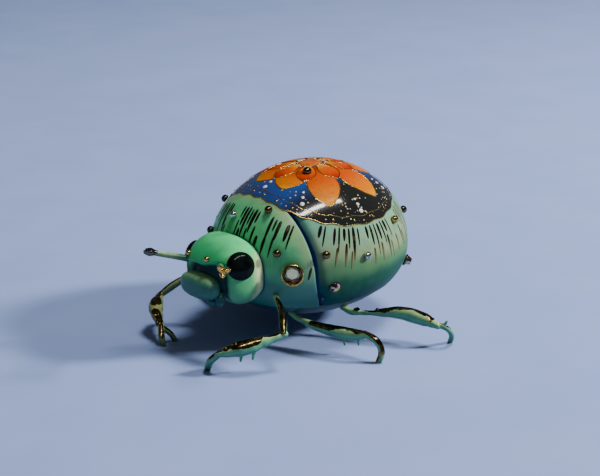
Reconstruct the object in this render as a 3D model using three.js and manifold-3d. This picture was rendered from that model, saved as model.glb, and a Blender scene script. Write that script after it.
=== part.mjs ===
import * as THREE from "three";
import { mergeVertices } from "three/addons/utils/BufferGeometryUtils.js";
import Module from "manifold-3d";

const wasm = await Module();
wasm.setup();

// Painted beetle figure, in millimetres. It stands on z = 0 and faces -Y; its left side is +X.
// The middle of the shell lies this far behind the middle of the whole figure.
const SHELL_SETBACK = 8.03;

// Shell: front and rear piece share one egg-shaped surface.
const SHELL_HALF_WIDTH = 21.65;
const SHELL_FRONT_REACH = 25.1;
const SHELL_REAR_REACH = 24.78;
const SHELL_RISE = 20.77;
const SHELL_DROP = 15.27;
const WIDEST_LEVEL = 18;
const RIM_LEVEL = 9.6;
const RING_FULLNESS = 0.913;
const END_BLUNTNESS = 0.972;
const LOWER_FLANK_FULLNESS = 0.2;
const SHELL_SIDES = 32;
const FRONT_FACE_Y = -23.2;
const GROOVE_Y = -14.6;
const GROOVE_LEAN = 0.073;
const GROOVE_SWEEP = 0.035;
const GROOVE_GAP = 0.3;
const WING_CASE_RINGS = 12;
const WING_CASE_FIRST_TURN = -0.47;

// Belly plate below the rim.
const BELLY_FLAT_LEVEL = 6.5;
const BELLY_TOP_LEVEL = 9.3;
const BELLY_REACH = 22.5;
const BELLY_INSET = 0.99;
const BELLY_RINGS = 4;

// Head, with an arched opening round the face. Directions run from its middle.
const HEAD_CENTRE = new THREE.Vector3(0, -26.1, 17.5);
const HEAD_HALF_WIDTH = 9.8;
const HEAD_REACH = 8.95;
const HEAD_RISE = 9.1;
const HEAD_DROP = 6.9;
const HEAD_SQUARENESS = 2.6;
const NAPE_TAPER = 0.8;
const HEAD_SIDES = 20;
const HEAD_RINGS = 14;
const FACE_CORE_SIDES = 14;
const FACE_CORE_RINGS = 10;
const FACE_CORE_SHARE = 0.74;
const FACE_BACK_Y = -29.6;
const MUZZLE_CENTRE = new THREE.Vector3(-0.2, -33.7, 15.9);
const MUZZLE_HALF_SIZES = new THREE.Vector3(6.1, 2.4, 2.65);
const MUZZLE_SQUARENESS = 2.7;
const MUZZLE_TILT = -0.1;
const EYE_RADIUS = 3.15;
const EYE_BULGE = 1.6;
const EYE_SINK = 0.5;
const EYE_DIRECTION = new THREE.Vector3(0.829, -0.333, 0.449).normalize();
const LEFT_BEAD_DIRECTION = new THREE.Vector3(0.191, -0.812, 0.552).normalize();
const RIGHT_BEAD_DIRECTION = new THREE.Vector3(-0.52, -0.71, 0.47).normalize();
const BROW_BEAD_WIDTH = 1.4;
const ANTENNA_ROOT_ROOM = 1.05;
const CLEARANCE = 0.3;

// Trim.
const STUD_WIDTH = 1.9;
const LARGE_SETTING_WIDTH = 5.3;
const SMALL_SETTING_WIDTH = 2.7;
const TAIL_SETTING_WIDTH = 3;
const STONE_HEIGHT = 0.18;
const TAIL_STONE_HEIGHT = 0.45;
const TRIM_GAP = 0.06;

const UP = new THREE.Vector3(0, 1, 0);

function finish(colour, roughness, metalness) {
  return new THREE.MeshStandardMaterial({ color: colour, roughness, metalness });
}

const finishes = {
  shellPaint: finish("#5f9a86", 0.4, 0),
  pronotumPaint: finish("#4f9a72", 0.4, 0),
  headPaint: finish("#4b9a4e", 0.4, 0),
  muzzlePaint: finish("#2f6b4b", 0.4, 0),
  bellyPaint: finish("#3d6f66", 0.5, 0),
  legPaint: finish("#4c9383", 0.35, 0),
  antennaPaint: finish("#9fbf8c", 0.4, 0),
  eyeGloss: finish("#0a0a0c", 0.08, 0),
  gold: finish("#9c7a35", 0.25, 1),
  stone: finish("#dfe9ee", 0.05, 0),
};

// Closed outward mesh: joined corners, no empty triangles.
function closed(geometry) {
  const bare = geometry.clone();
  bare.deleteAttribute("normal");
  bare.deleteAttribute("uv");
  const joined = mergeVertices(bare, 1e-4);
  const corners = joined.index.array;
  const spots = joined.attributes.position;
  const first = new THREE.Vector3();
  const second = new THREE.Vector3();
  const third = new THREE.Vector3();
  const kept = [];
  let volume = 0;
  for (let i = 0; i < corners.length; i += 3) {
    const [a, b, c] = [corners[i], corners[i + 1], corners[i + 2]];
    if (a === b || b === c || c === a) continue;
    first.fromBufferAttribute(spots, a);
    second.fromBufferAttribute(spots, b);
    third.fromBufferAttribute(spots, c);
    volume += first.dot(second.cross(third));
    kept.push(a, b, c);
  }
  joined.setIndex(volume < 0 ? kept.reverse() : kept);
  return joined;
}

function solid(geometry) {
  const mesh = closed(geometry);
  const vertProperties = Float32Array.from(mesh.attributes.position.array);
  const triVerts = Uint32Array.from(mesh.index.array);
  return new wasm.Manifold(new wasm.Mesh({ numProp: 3, vertProperties, triVerts }));
}

function shapeOf(body) {
  const mesh = body.getMesh();
  const geometry = new THREE.BufferGeometry();
  const step = mesh.numProp;
  const count = mesh.vertProperties.length / step;
  const corners = new Float32Array(count * 3);
  for (let i = 0; i < count; i += 1) {
    corners.set(mesh.vertProperties.subarray(i * step, i * step + 3), i * 3);
  }
  geometry.setAttribute("position", new THREE.BufferAttribute(corners, 3));
  geometry.setIndex(Array.from(mesh.triVerts));
  return geometry;
}

// Everything is placed round the middle of the shell, in a group set back within the figure.
const beetle = new THREE.Group();
beetle.name = "beetle";
const figure = new THREE.Group();
figure.position.y = SHELL_SETBACK;
beetle.add(figure);

function place(name, geometry, material) {
  const mesh = new THREE.Mesh(closed(geometry), material);
  mesh.geometry.computeVertexNormals();
  mesh.name = name;
  figure.add(mesh);
  return mesh;
}

function moved(geometry, change) {
  const spots = geometry.attributes.position;
  const spot = new THREE.Vector3();
  for (let i = 0; i < spots.count; i += 1) {
    spot.fromBufferAttribute(spots, i);
    const next = change(spot);
    spots.setXYZ(i, next.x, next.y, next.z);
  }
  return geometry;
}

function turned(profile, sides) {
  return new THREE.LatheGeometry(profile.map(([x, y]) => new THREE.Vector2(x, y)), sides);
}

function ball(radius, centre, sides = 14, rings = 10) {
  const geometry = new THREE.SphereGeometry(radius, sides, rings);
  return geometry.translate(centre.x, centre.y, centre.z);
}

function slab(low, high) {
  return new THREE.BoxGeometry(140, 140, high - low).translate(0, 0, (low + high) / 2);
}

// Size of the shell's cross-section at a place along its length, 1 at the middle.
function ringAt(y) {
  const reach = y < 0 ? SHELL_FRONT_REACH : SHELL_REAR_REACH;
  const share = Math.min(1, Math.abs(y) / reach) ** (1 / END_BLUNTNESS);
  return (1 - share * share) ** (RING_FULLNESS / 2);
}

function shellPoint(y, angle, part = 1) {
  const up = Math.sin(angle);
  const across = Math.cos(angle);
  const forward = THREE.MathUtils.clamp(y / GROOVE_Y, 0, 1);
  const power = up < 0 ? 1 - LOWER_FLANK_FULLNESS * forward : 1;
  const spread = Math.sign(across) * Math.abs(across) ** power;
  const ring = ringAt(y) * part;
  const rise = up > 0 ? SHELL_RISE : SHELL_DROP;
  return new THREE.Vector3(SHELL_HALF_WIDTH * ring * spread, y, WIDEST_LEVEL + rise * ring * up);
}

// Rings near the groove lean as it does: forward at the top, swept back towards the rim.
function leaningPoint(level, angle, part) {
  const span = level < GROOVE_Y ? GROOVE_Y - FRONT_FACE_Y : -GROOVE_Y;
  const share = Math.max(0, 1 - Math.abs(level - GROOVE_Y) / span);
  let point = shellPoint(level, angle, part);
  for (let i = 0; i < 12; i += 1) {
    const below = WIDEST_LEVEL - point.z;
    const lean = GROOVE_LEAN * below + GROOVE_SWEEP * Math.max(0, below) ** 2;
    point = shellPoint(level + share * lean, angle, part);
  }
  return point;
}

function shellNormal(y, angle) {
  const step = 0.01;
  const along = shellPoint(y + step, angle).sub(shellPoint(y - step, angle));
  const round = shellPoint(y, angle + step).sub(shellPoint(y, angle - step));
  return along.cross(round).normalize();
}

// Shell piece: a stack of rings, each a share of the cross-section at its place.
function shellPiece(profile) {
  return moved(turned(profile, SHELL_SIDES), (spot) => {
    return leaningPoint(spot.y, Math.atan2(spot.z, spot.x), Math.hypot(spot.x, spot.z));
  });
}

// Tapering limb along a bent line; its widths are spread evenly from end to end.
function limb(points, widths, sides = 7) {
  const line = new THREE.CatmullRomCurve3(points.map((point) => new THREE.Vector3(...point)));
  const last = widths.length - 1;
  const frames = line.computeFrenetFrames(last, false);
  const profile = [[0, 0], ...widths.map((width, i) => [width / 2, i]), [0, last]];
  const tube = moved(turned(profile, sides), (spot) => {
    const station = Math.round(spot.y);
    const next = line.getPointAt(station / last);
    next.addScaledVector(frames.normals[station], spot.x);
    next.addScaledVector(frames.binormals[station], spot.z);
    return next;
  });
  return solid(tube);
}

function spine(base, tip) {
  return limb([base, tip], [0.85, 0.55], 5);
}

// Every leg is one piece: root ball, thigh, shin, foot and spines, cut flat where it stands.
function legBody(leg) {
  let body = solid(ball(leg.rootRadius, new THREE.Vector3(...leg.root), 8, 6));
  leg.limbs.forEach(([points, widths]) => {
    body = body.add(limb(points, widths));
  });
  leg.spines.forEach(([base, tip]) => {
    body = body.add(spine(base, tip));
  });
  leg.knobs.forEach(([centre, radius]) => {
    body = body.add(solid(ball(radius, new THREE.Vector3(...centre), 6, 4)));
  });
  return body.subtract(solid(slab(-5, 0)));
}

function mirrored(leg) {
  const flip = ([x, y, z]) => [-x, y, z];
  return {
    root: flip(leg.root),
    rootRadius: leg.rootRadius,
    limbs: leg.limbs.map(([points, widths]) => [points.map(flip), widths]),
    spines: leg.spines.map(([base, tip]) => [flip(base), flip(tip)]),
    knobs: leg.knobs.map(([centre, radius]) => [flip(centre), radius]),
  };
}

const frontLeft = {
  root: [11.6, -21.6, 13.4],
  rootRadius: 1.35,
  limbs: [
    [[[11.6, -21.6, 13.4], [16.1, -23.7, 11.6], [20.1, -26.8, 8.4]], [1.8, 1.6, 1.7, 1.9, 1.5]],
    [[[20.2, -26.4, 8.2], [16.6, -33.2, 6.3], [12.3, -39.3, 4.6]], [1.4, 1.8, 2.6, 3.5, 3.6, 2.6, 1.4]],
    [[[12.6, -38.9, 4.9], [10.6, -40, 2.7], [8.6, -39.5, -0.4]], [1.5, 1.7, 1.7, 1.6, 1.4]],
  ],
  spines: [
    [[16, -33.8, 5.1], [15.9, -34.2, 3.3]],
    [[14.4, -36.2, 4.6], [14.3, -36.6, 2.9]],
  ],
  knobs: [
    [[14.6, -36.5, 7.1], 0.5],
    [[13.3, -38.2, 6.1], 0.5],
  ],
};

const frontRight = {
  root: [-11.6, -21.6, 13.4],
  rootRadius: 1.35,
  limbs: [
    [[[-11.6, -21.6, 13.4], [-17, -25.8, 11], [-20.2, -30.8, 7.2]], [2, 1.7, 1.7, 1.9, 1.5]],
    [[[-20.3, -30.4, 7.3], [-16.4, -34.6, 6], [-10.7, -37.3, 3.2]], [1.5, 2.4, 3.3, 3.5, 2.8, 2, 1.4]],
    [[[-11.1, -37.2, 3.5], [-9.5, -38.3, 1.7], [-8.4, -38.5, -0.4]], [1.5, 1.6, 1.5, 1.4]],
    [[[-11.1, -36.9, 3.4], [-9.7, -35.4, 1.7], [-8.9, -34.6, -0.4]], [1.3, 1.4, 1.3, 1.2]],
  ],
  spines: [
    [[-17, -33.2, 5.6], [-17.2, -32.8, 3.9]],
    [[-14.4, -35, 4.4], [-14.5, -34.6, 2.8]],
  ],
  knobs: [
    [[-14, -36.7, 5.5], 0.5],
    [[-12, -37.6, 4.4], 0.5],
  ],
};

const middleLeft = {
  root: [10.6, -15, 6.9],
  rootRadius: 1.15,
  limbs: [
    [
      [[10.6, -15, 6.9], [14, -14, 5.7], [20, -12.2, 5.15], [25, -10.5, 5.2], [28.6, -9.2, 5.75]],
      [1.4, 1.6, 2.4, 2.9, 3, 2.5, 1.6],
    ],
    [
      [[28.2, -9.4, 5.95], [31.2, -8.6, 4.9], [32.5, -8.3, 2.5], [32, -9, -0.4]],
      [1.6, 1.7, 1.7, 1.6, 1.6, 1.5, 1.4],
    ],
  ],
  spines: [
    [[23, -11.2, 4.4], [23, -11.2, 2.6]],
    [[26.4, -10, 4.9], [26.4, -10, 3]],
  ],
  knobs: [],
};

const hindLeft = {
  root: [14.6, -3, 6.9],
  rootRadius: 1.05,
  limbs: [
    [
      [
        [14.6, -3, 6.9], [16.6, -1.7, 5.95], [20.6, 0.8, 6.1], [26.1, 4.2, 6.85], [31.6, 6.6, 6.15],
        [35.2, 7.4, 5.35],
      ],
      [1.6, 1.5, 1.2, 1.9, 2.8, 3.3, 3.35, 2.6, 1.6],
    ],
    [
      [[34.7, 7.3, 5.7], [36.7, 9.1, 4.6], [36.3, 11.2, 2.2], [35, 12, -0.4]],
      [1.3, 1.3, 1.3, 1.3, 1.3, 1.2],
    ],
  ],
  spines: [
    [[36, 8.5, 5.1], [36.8, 8.7, 6.5]],
  ],
  knobs: [
    [[17.55, -1.15, 6.4], 0.75],
    [[21.6, 1.45, 7], 0.5],
  ],
};

const legs = {
  leg_front_left: frontLeft,
  leg_front_right: frontRight,
  leg_middle_left: middleLeft,
  leg_middle_right: mirrored(middleLeft),
  leg_hind_left: hindLeft,
  leg_hind_right: mirrored(hindLeft),
};

const legBodies = Object.values(legs).map(legBody);

// Room for the leg roots in the pieces that they grow from.
function withSockets(body) {
  let result = body;
  Object.values(legs).forEach((leg) => {
    const room = ball(leg.rootRadius + CLEARANCE, new THREE.Vector3(...leg.root), 8, 6);
    result = result.subtract(solid(room));
  });
  return result;
}

// Point of the head in a direction from its middle, as a part of its size and grown outward.
function headPoint(direction, part = 1, grown = 0) {
  const ring = Math.hypot(direction.x, direction.z);
  const square = Math.abs(direction.x) ** HEAD_SQUARENESS + Math.abs(direction.z) ** HEAD_SQUARENESS;
  const fuller = ring > 1e-6 ? ring / square ** (1 / HEAD_SQUARENESS) : 1;
  const nape = 1 - NAPE_TAPER * Math.max(0, direction.y) ** 2;
  const rise = direction.z > 0 ? HEAD_RISE : HEAD_DROP;
  return new THREE.Vector3(
    direction.x * fuller * (HEAD_HALF_WIDTH * part + grown),
    direction.y * (HEAD_REACH * part + grown),
    direction.z * fuller * nape * (rise * part + grown),
  ).add(HEAD_CENTRE);
}

function headForm(grown) {
  const form = new THREE.SphereGeometry(1, HEAD_SIDES, HEAD_RINGS);
  return solid(moved(form, (spot) => headPoint(spot, 1, grown)));
}

function faceCore(grown) {
  const form = new THREE.SphereGeometry(1, FACE_CORE_SIDES, FACE_CORE_RINGS);
  return solid(moved(form, (spot) => headPoint(spot, FACE_CORE_SHARE, grown)));
}

function headNormal(direction) {
  const aside = direction.clone().cross(new THREE.Vector3(0, 0, 1)).normalize();
  const rising = aside.clone().cross(direction);
  const nearby = (turn) => headPoint(direction.clone().addScaledVector(turn, 0.01).normalize());
  const spot = headPoint(direction);
  return nearby(rising).sub(spot).cross(nearby(aside).sub(spot)).normalize();
}

const rimCut = solid(slab(-10, RIM_LEVEL));
const headRoom = headForm(CLEARANCE);

const pronotumEnd = GROOVE_Y - GROOVE_GAP / 2;
const pronotumProfile = [
  [0, FRONT_FACE_Y],
  [0.93, FRONT_FACE_Y],
  [1, -22.8],
  [1, -21.4],
  [1, -19.4],
  [1, -17],
  [1, pronotumEnd - 0.35],
  [0.975, pronotumEnd],
  [0, pronotumEnd],
];
const pronotum = solid(shellPiece(pronotumProfile)).subtract(rimCut).subtract(headRoom);
place("pronotum", shapeOf(withSockets(pronotum)), finishes.pronotumPaint);

const wingCaseStart = GROOVE_Y + GROOVE_GAP / 2;
const wingCaseProfile = [
  [0, wingCaseStart],
  [0.95, wingCaseStart],
  [0.968, wingCaseStart + 0.9],
  [0.995, wingCaseStart + 1.5],
];
for (let i = 0; i < WING_CASE_RINGS; i += 1) {
  const turn = THREE.MathUtils.lerp(WING_CASE_FIRST_TURN, Math.PI / 2, i / WING_CASE_RINGS);
  wingCaseProfile.push([1, SHELL_REAR_REACH * Math.sin(turn)]);
}
wingCaseProfile.push([0, SHELL_REAR_REACH]);
const wingCase = solid(shellPiece(wingCaseProfile)).subtract(rimCut);
place("wing_case", shapeOf(wingCase), finishes.shellPaint);

// The belly carries the shell's lower curve on below the rim, down to a flat underside.
const bellyProfile = [[0, -BELLY_REACH]];
for (let i = -BELLY_RINGS; i <= BELLY_RINGS; i += 1) {
  bellyProfile.push([BELLY_INSET, BELLY_REACH * Math.sin((i / BELLY_RINGS) * (Math.PI / 2))]);
}
bellyProfile.push([0, BELLY_REACH]);
const bellyEgg = solid(moved(turned(bellyProfile, SHELL_SIDES), (spot) => {
  return shellPoint(spot.y, Math.atan2(spot.z, spot.x), Math.hypot(spot.x, spot.z));
}));
const belly = bellyEgg
  .subtract(solid(slab(BELLY_TOP_LEVEL, 60)))
  .subtract(solid(slab(-10, BELLY_FLAT_LEVEL)));
place("belly", shapeOf(withSockets(belly)), finishes.bellyPaint);

Object.keys(legs).forEach((name, i) => {
  place(name, shapeOf(legBodies[i]), finishes.legPaint);
});

// The face opening is an arch seen from the front, a little askew and open below; a smaller core stays
// inside it.
const arch = new THREE.Shape();
arch.moveTo(5.2, 8.5);
arch.lineTo(6.6, 12.8);
arch.quadraticCurveTo(7.6, 15, 7.3, 17.4);
arch.quadraticCurveTo(7.1, 22, 4.4, 22.3);
arch.lineTo(-4, 21);
arch.quadraticCurveTo(-7, 20.6, -7.3, 17.4);
arch.quadraticCurveTo(-7.6, 15, -6.6, 12.8);
arch.lineTo(-5.2, 8.5);
const archBlock = new THREE.ExtrudeGeometry(arch, { depth: 20, bevelEnabled: false, curveSegments: 4 });
archBlock.rotateX(Math.PI / 2);
archBlock.translate(0, FACE_BACK_Y, 0);
const faceOpening = solid(archBlock).subtract(faceCore(0));

const sides = { left: 1, right: -1 };
const antennae = {
  left: [[5.2, -32.4, 21.7], [9, -35.2, 22.4], [12.4, -37.4, 23.2], [14, -39, 24]],
  right: [[-6.2, -32.5, 20.6], [-8.8, -35.4, 21.4], [-11, -38.2, 22.2], [-13, -40.5, 21.9]],
};
const antennaWidths = [1.5, 1.4, 1.4, 1.5, 2.3, 2.3, 0.8];

// Eyes are low domes, sunk a little where they sit; their own Y points away from the head.
function eyeSeat(sign) {
  const direction = EYE_DIRECTION.clone().multiply(new THREE.Vector3(sign, 1, 1));
  const outward = headNormal(direction);
  const spot = headPoint(direction).addScaledVector(outward, -EYE_SINK);
  return { spot, turn: new THREE.Quaternion().setFromUnitVectors(UP, outward) };
}

function eyeDome(grown) {
  const dome = new THREE.SphereGeometry(1, 12, 9);
  return dome.scale(EYE_RADIUS + grown, EYE_BULGE + grown, EYE_RADIUS + grown);
}

let head = headForm(0).subtract(faceOpening);
Object.entries(sides).forEach(([side, sign]) => {
  const seat = eyeSeat(sign);
  const eyeRoom = eyeDome(CLEARANCE / 2).applyQuaternion(seat.turn);
  head = head.subtract(solid(eyeRoom.translate(seat.spot.x, seat.spot.y, seat.spot.z)));
  head = head.subtract(solid(ball(ANTENNA_ROOT_ROOM, new THREE.Vector3(...antennae[side][0]), 8, 6)));
  head = head.subtract(limb(antennae[side], antennaWidths.map((width) => width + 0.5)));
});
place("head", shapeOf(head), finishes.headPaint);

const muzzleLobe = new THREE.SphereGeometry(1, 16, 10);
moved(muzzleLobe, (spot) => {
  const full = spot.toArray().reduce((sum, value) => sum + Math.abs(value) ** MUZZLE_SQUARENESS, 0);
  return spot.divideScalar(full ** (1 / MUZZLE_SQUARENESS)).multiply(MUZZLE_HALF_SIZES);
});
muzzleLobe.rotateX(MUZZLE_TILT);
muzzleLobe.translate(MUZZLE_CENTRE.x, MUZZLE_CENTRE.y, MUZZLE_CENTRE.z);
const muzzle = solid(muzzleLobe).subtract(faceCore(CLEARANCE));
place("muzzle", shapeOf(muzzle), finishes.muzzlePaint);

Object.entries(sides).forEach(([side, sign]) => {
  const seat = eyeSeat(sign);
  const eye = place(`eye_${side}`, eyeDome(0), finishes.eyeGloss);
  eye.quaternion.copy(seat.turn);
  eye.position.copy(seat.spot);
  place(`antenna_${side}`, shapeOf(limb(antennae[side], antennaWidths)), finishes.antennaPaint);
});

// Trim stands on a surface: its own Y points away from the spot that carries it.
function standOn(mesh, spot, outward) {
  mesh.quaternion.setFromUnitVectors(UP, outward);
  mesh.position.copy(spot).addScaledVector(outward, TRIM_GAP);
}

function standOnShell(mesh, y, degrees) {
  const angle = THREE.MathUtils.degToRad(degrees);
  standOn(mesh, shellPoint(y, angle), shellNormal(y, angle));
}

function stud(width) {
  const profile = [[0, 0], [0.38, 0], [0.5, 0.25], [0.36, 0.58], [0, 0.7]];
  return turned(profile.map(([x, y]) => [x * width, y * width]), 8);
}

function setting(width) {
  const profile = [[0, 0], [0.45, 0], [0.5, 0.09], [0.46, 0.16], [0.42, 0.14], [0.42, 0.08], [0, 0.08]];
  return turned(profile.map(([x, y]) => [x * width, y * width]), 12);
}

function stone(width, height) {
  const base = 0.08 * width + TRIM_GAP;
  const profile = [[0, 0], [0.4, 0], [0.4, 0.06], [0.26, height], [0, height]];
  return turned(profile.map(([x, y]) => [x * width, y * width + base]), 8);
}

// Place along the shell, turn round it, and size against the usual stud.
const shellStuds = {
  stud_front_middle: [-21.3, 102, 1],
  stud_front_left: [-18.2, 68, 1],
  stud_front_far: [-14.2, 140, 1],
  stud_collar_left: [-20.8, 27, 1],
  stud_collar_right: [-20.8, 153, 1],
  stud_shoulder_left: [-12.4, 16, 1],
  stud_shoulder_right: [-12.4, 164, 1],
  stud_flank_left: [-2.2, 9, 1],
  stud_flank_right: [-2.2, 171, 1],
  stud_back_left: [9.9, 26, 1],
  stud_back_right: [9.9, 154, 1],
  stud_rear_left: [19, 33, 1],
  stud_rear_right: [19, 147, 1],
  stud_dot_left: [-12.7, -24, 0.55],
  stud_dot_right: [-12.7, 204, 0.55],
  stud_top: [-5.1, 78, 1.1],
};
Object.entries(shellStuds).forEach(([name, [y, degrees, scale]]) => {
  standOnShell(place(name, stud(STUD_WIDTH * scale), finishes.gold), y, degrees);
});

// Place along the shell, turn round it, width, and the stone's height as a share of the width.
const crystals = {
  crystal_large_left: [-19.1, 4, LARGE_SETTING_WIDTH, STONE_HEIGHT],
  crystal_large_right: [-19.1, 176, LARGE_SETTING_WIDTH, STONE_HEIGHT],
  crystal_small_left: [-10.6, -11.5, SMALL_SETTING_WIDTH, STONE_HEIGHT],
  crystal_small_right: [-10.6, 191.5, SMALL_SETTING_WIDTH, STONE_HEIGHT],
  crystal_tail_left: [17.3, -20, TAIL_SETTING_WIDTH, TAIL_STONE_HEIGHT],
  crystal_tail_right: [17.3, 200, TAIL_SETTING_WIDTH, TAIL_STONE_HEIGHT],
};
Object.entries(crystals).forEach(([name, [y, degrees, width, height]]) => {
  standOnShell(place(`${name}_setting`, setting(width), finishes.gold), y, degrees);
  standOnShell(place(`${name}_stone`, stone(width, height), finishes.stone), y, degrees);
});

const browBeads = { left: LEFT_BEAD_DIRECTION, right: RIGHT_BEAD_DIRECTION };
Object.entries(browBeads).forEach(([side, direction]) => {
  const bead = place(`face_bead_${side}`, stud(BROW_BEAD_WIDTH), finishes.gold);
  standOn(bead, headPoint(direction), headNormal(direction));
});

export default beetle;
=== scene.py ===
import math

import bmesh
import bpy
from mathutils import Matrix, Vector
from mathutils.kdtree import KDTree


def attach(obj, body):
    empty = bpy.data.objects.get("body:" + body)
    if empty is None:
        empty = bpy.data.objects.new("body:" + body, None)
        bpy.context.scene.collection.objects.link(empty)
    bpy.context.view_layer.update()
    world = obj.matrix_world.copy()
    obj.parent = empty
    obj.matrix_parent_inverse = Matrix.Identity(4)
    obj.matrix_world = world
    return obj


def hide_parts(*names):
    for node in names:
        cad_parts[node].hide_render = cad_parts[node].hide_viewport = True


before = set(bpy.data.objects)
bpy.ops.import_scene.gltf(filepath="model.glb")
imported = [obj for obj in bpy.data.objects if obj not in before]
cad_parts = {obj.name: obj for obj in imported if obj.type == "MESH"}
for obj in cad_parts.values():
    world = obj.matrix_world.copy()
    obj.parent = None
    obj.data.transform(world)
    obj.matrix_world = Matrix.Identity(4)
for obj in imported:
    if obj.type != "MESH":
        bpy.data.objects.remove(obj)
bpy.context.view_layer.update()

# Shape values are in millimetres, measured from the middle of the shell at ground level.
MM = 0.001
MERGE_DISTANCE = 0.002
SHELL_SETBACK = 8.03

# The egg-shaped shell.
HALF_WIDTH = 21.65
FRONT_REACH = 25.1
REAR_REACH = 24.78
RISE = 20.77
DROP = 15.27
WIDEST_LEVEL = 18
RIM_LEVEL = 9.6
BELLY_FLAT_LEVEL = 6.5
RING_FULLNESS = 0.913
END_BLUNTNESS = 0.972
LOWER_FLANK_FULLNESS = 0.2
FRONT_END_Y = -24.3
GROOVE_Y = -14.6
GROOVE_LEAN = 0.073
GROOVE_SWEEP = 0.035
LEAN_FADE_AHEAD = 8.6
LEAN_FADE_BEHIND = 24
RIM_ROUNDING = 0.3
BELLY_REACH = 0.92 * FRONT_REACH
BELLY_PART = 0.985
BELLY_OVERLAP = 0.4
BELLY_ROUNDING = 0.6
GROOVE_GAP_AHEAD = 0.12
GROOVE_GAP_BEHIND = 0.1

# The head; shares are of its size, directions run from its middle.
HEAD_CENTRE = Vector((0, -26.1, 17.5))
HEAD_HALF_WIDTH = 9.8
HEAD_REACH = 8.95
HEAD_RISE = 9.1
HEAD_DROP = 6.9
HEAD_SQUARENESS = 2.6
NAPE_TAPER = 0.8
FACE_CORE_SHARE = 0.74
ARCH_HALF_WIDTH_SHARE = 0.74
ARCH_FOOT_HALF_WIDTH_SHARE = 0.6
ARCH_TOP_SHARE = 0.43
ARCH_TOP_SLANT = 0.16
ARCH_CORNER_SHARE = 0.5
ARCH_EDGE_SHARE = 0.045
ARCH_FOOT_SPAN = (0.1, 0.75)
FACE_BACK_SHARE = 0.12
MUZZLE_CENTRE = Vector((-0.45, -33.7, 15.95))
MUZZLE_HALF_SIZES = Vector((5.9, 2.5, 2.85))
MUZZLE_SQUARENESS = 2.6
MUZZLE_TILT = -0.1
MOUTH_LOBES = [((1.6, -32.4, 14.2), (2.5, -32.8, 12.6)), ((4.4, -31.6, 14.4), (4.8, -32.2, 12.9))]
MOUTH_LOBE_WIDTHS = (1.6, 2.1, 1.9)
EYE_BULGE = 1.7
EYE_SINK = 0.5
# Each eye's direction and radius.
EYES = {
    "left": (Vector((0.829, -0.333, 0.449)).normalized(), 3.25),
    "right": (Vector((-0.864, -0.347, 0.364)).normalized(), 2.95),
}
BROW_BEAD_DIRECTIONS = {
    "left": Vector((0.191, -0.812, 0.552)).normalized(),
    "right": Vector((-0.52, -0.71, 0.47)).normalized(),
}
BROW_BEAD_WIDTH = 1.4
BROW_BEAD_SINK = 0.1

STUD_WIDTH = 1.9
STUD_HEIGHT_SHARE = 0.7
STUD_WAIST_SHARE = 0.24
STUD_FOOT_SHARE = 0.36
TRIM_LIFT = 0.06

# The picture area on the back is drawn flat, in degrees from the top of the shell.
# Its lifts, depths and heights are in millimetres.
PATCH_LIFT = 0.06
PATCH_DEPTH = 0.75
PETAL_DEPTH = 0.25
BORDER_DEPTH = 0.2
STROKE_DEPTH = 0.15


# Making and placing pieces

def to_frame(bm):
    """Moves a bmesh from millimetres round the shell to metres in the part's frame."""
    bmesh.ops.translate(bm, verts=bm.verts, vec=(0, SHELL_SETBACK, 0))
    bmesh.ops.scale(bm, verts=bm.verts, vec=(MM, MM, MM))


def new_object(name, data):
    made = bpy.data.objects.new(name, data)
    bpy.context.scene.collection.objects.link(made)
    return made


def mark(bm, name, value):
    """Gives each point a value that a finish reads by name."""
    layer = bm.verts.layers.float.new(name)
    for vert in bm.verts:
        vert[layer] = value(vert)


def add_piece(name, bm, finish, nodes=(), crease=40, flat=False):
    """Turns a bmesh in millimetres into a finished piece that rides on the figure."""
    bmesh.ops.remove_doubles(bm, verts=bm.verts, dist=MERGE_DISTANCE)
    bmesh.ops.recalc_face_normals(bm, faces=bm.faces)
    if bm.calc_volume(signed=True) < 0:
        bmesh.ops.reverse_faces(bm, faces=bm.faces)
    to_frame(bm)
    for face in bm.faces:
        face.smooth = not flat
    for edge in bm.edges:
        edge.smooth = edge.calc_face_angle(0) < math.radians(crease)
    mesh = bpy.data.meshes.new(name)
    bm.to_mesh(mesh)
    bm.free()
    mesh.materials.append(finish)
    piece = new_object(name, mesh)
    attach(piece, "root")
    if nodes:
        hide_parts(*nodes)


def spun(profile, axis, steps):
    """A closed turned shape: profile points are (distance from the axis, place along it)."""
    bm = bmesh.new()
    if axis == "Y":
        verts = [bm.verts.new((out, along, 0)) for out, along in profile]
        direction = (0, 1, 0)
    else:
        verts = [bm.verts.new((out, 0, along)) for out, along in profile]
        direction = (0, 0, 1)
    edges = [bm.edges.new(pair) for pair in zip(verts, verts[1:])]
    bmesh.ops.spin(
        bm, geom=verts + edges, cent=(0, 0, 0), axis=direction, angle=2 * math.pi,
        steps=steps, use_merge=True,
    )
    bmesh.ops.remove_doubles(bm, verts=bm.verts, dist=1e-5)
    return bm


def join(target, source):
    """Adds one bmesh to another and frees it."""
    scratch = bpy.data.meshes.new("scratch")
    source.to_mesh(scratch)
    source.free()
    target.from_mesh(scratch)
    bpy.data.meshes.remove(scratch)


def even_steps(first, last, count):
    return [first + (last - first) * index / count for index in range(count + 1)]


def smooth_share(value, low, high):
    share = min(1.0, max(0.0, (value - low) / (high - low)))
    return share * share * (3 - 2 * share)


# The shell's own surface

def ring_at(y):
    """How full the shell's ring is at y, 1 at the widest."""
    reach = FRONT_REACH if y < 0 else REAR_REACH
    share = min(1.0, abs(y) / reach) ** (1 / END_BLUNTNESS)
    return max(0.0, 1 - share * share) ** (RING_FULLNESS / 2)


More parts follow.
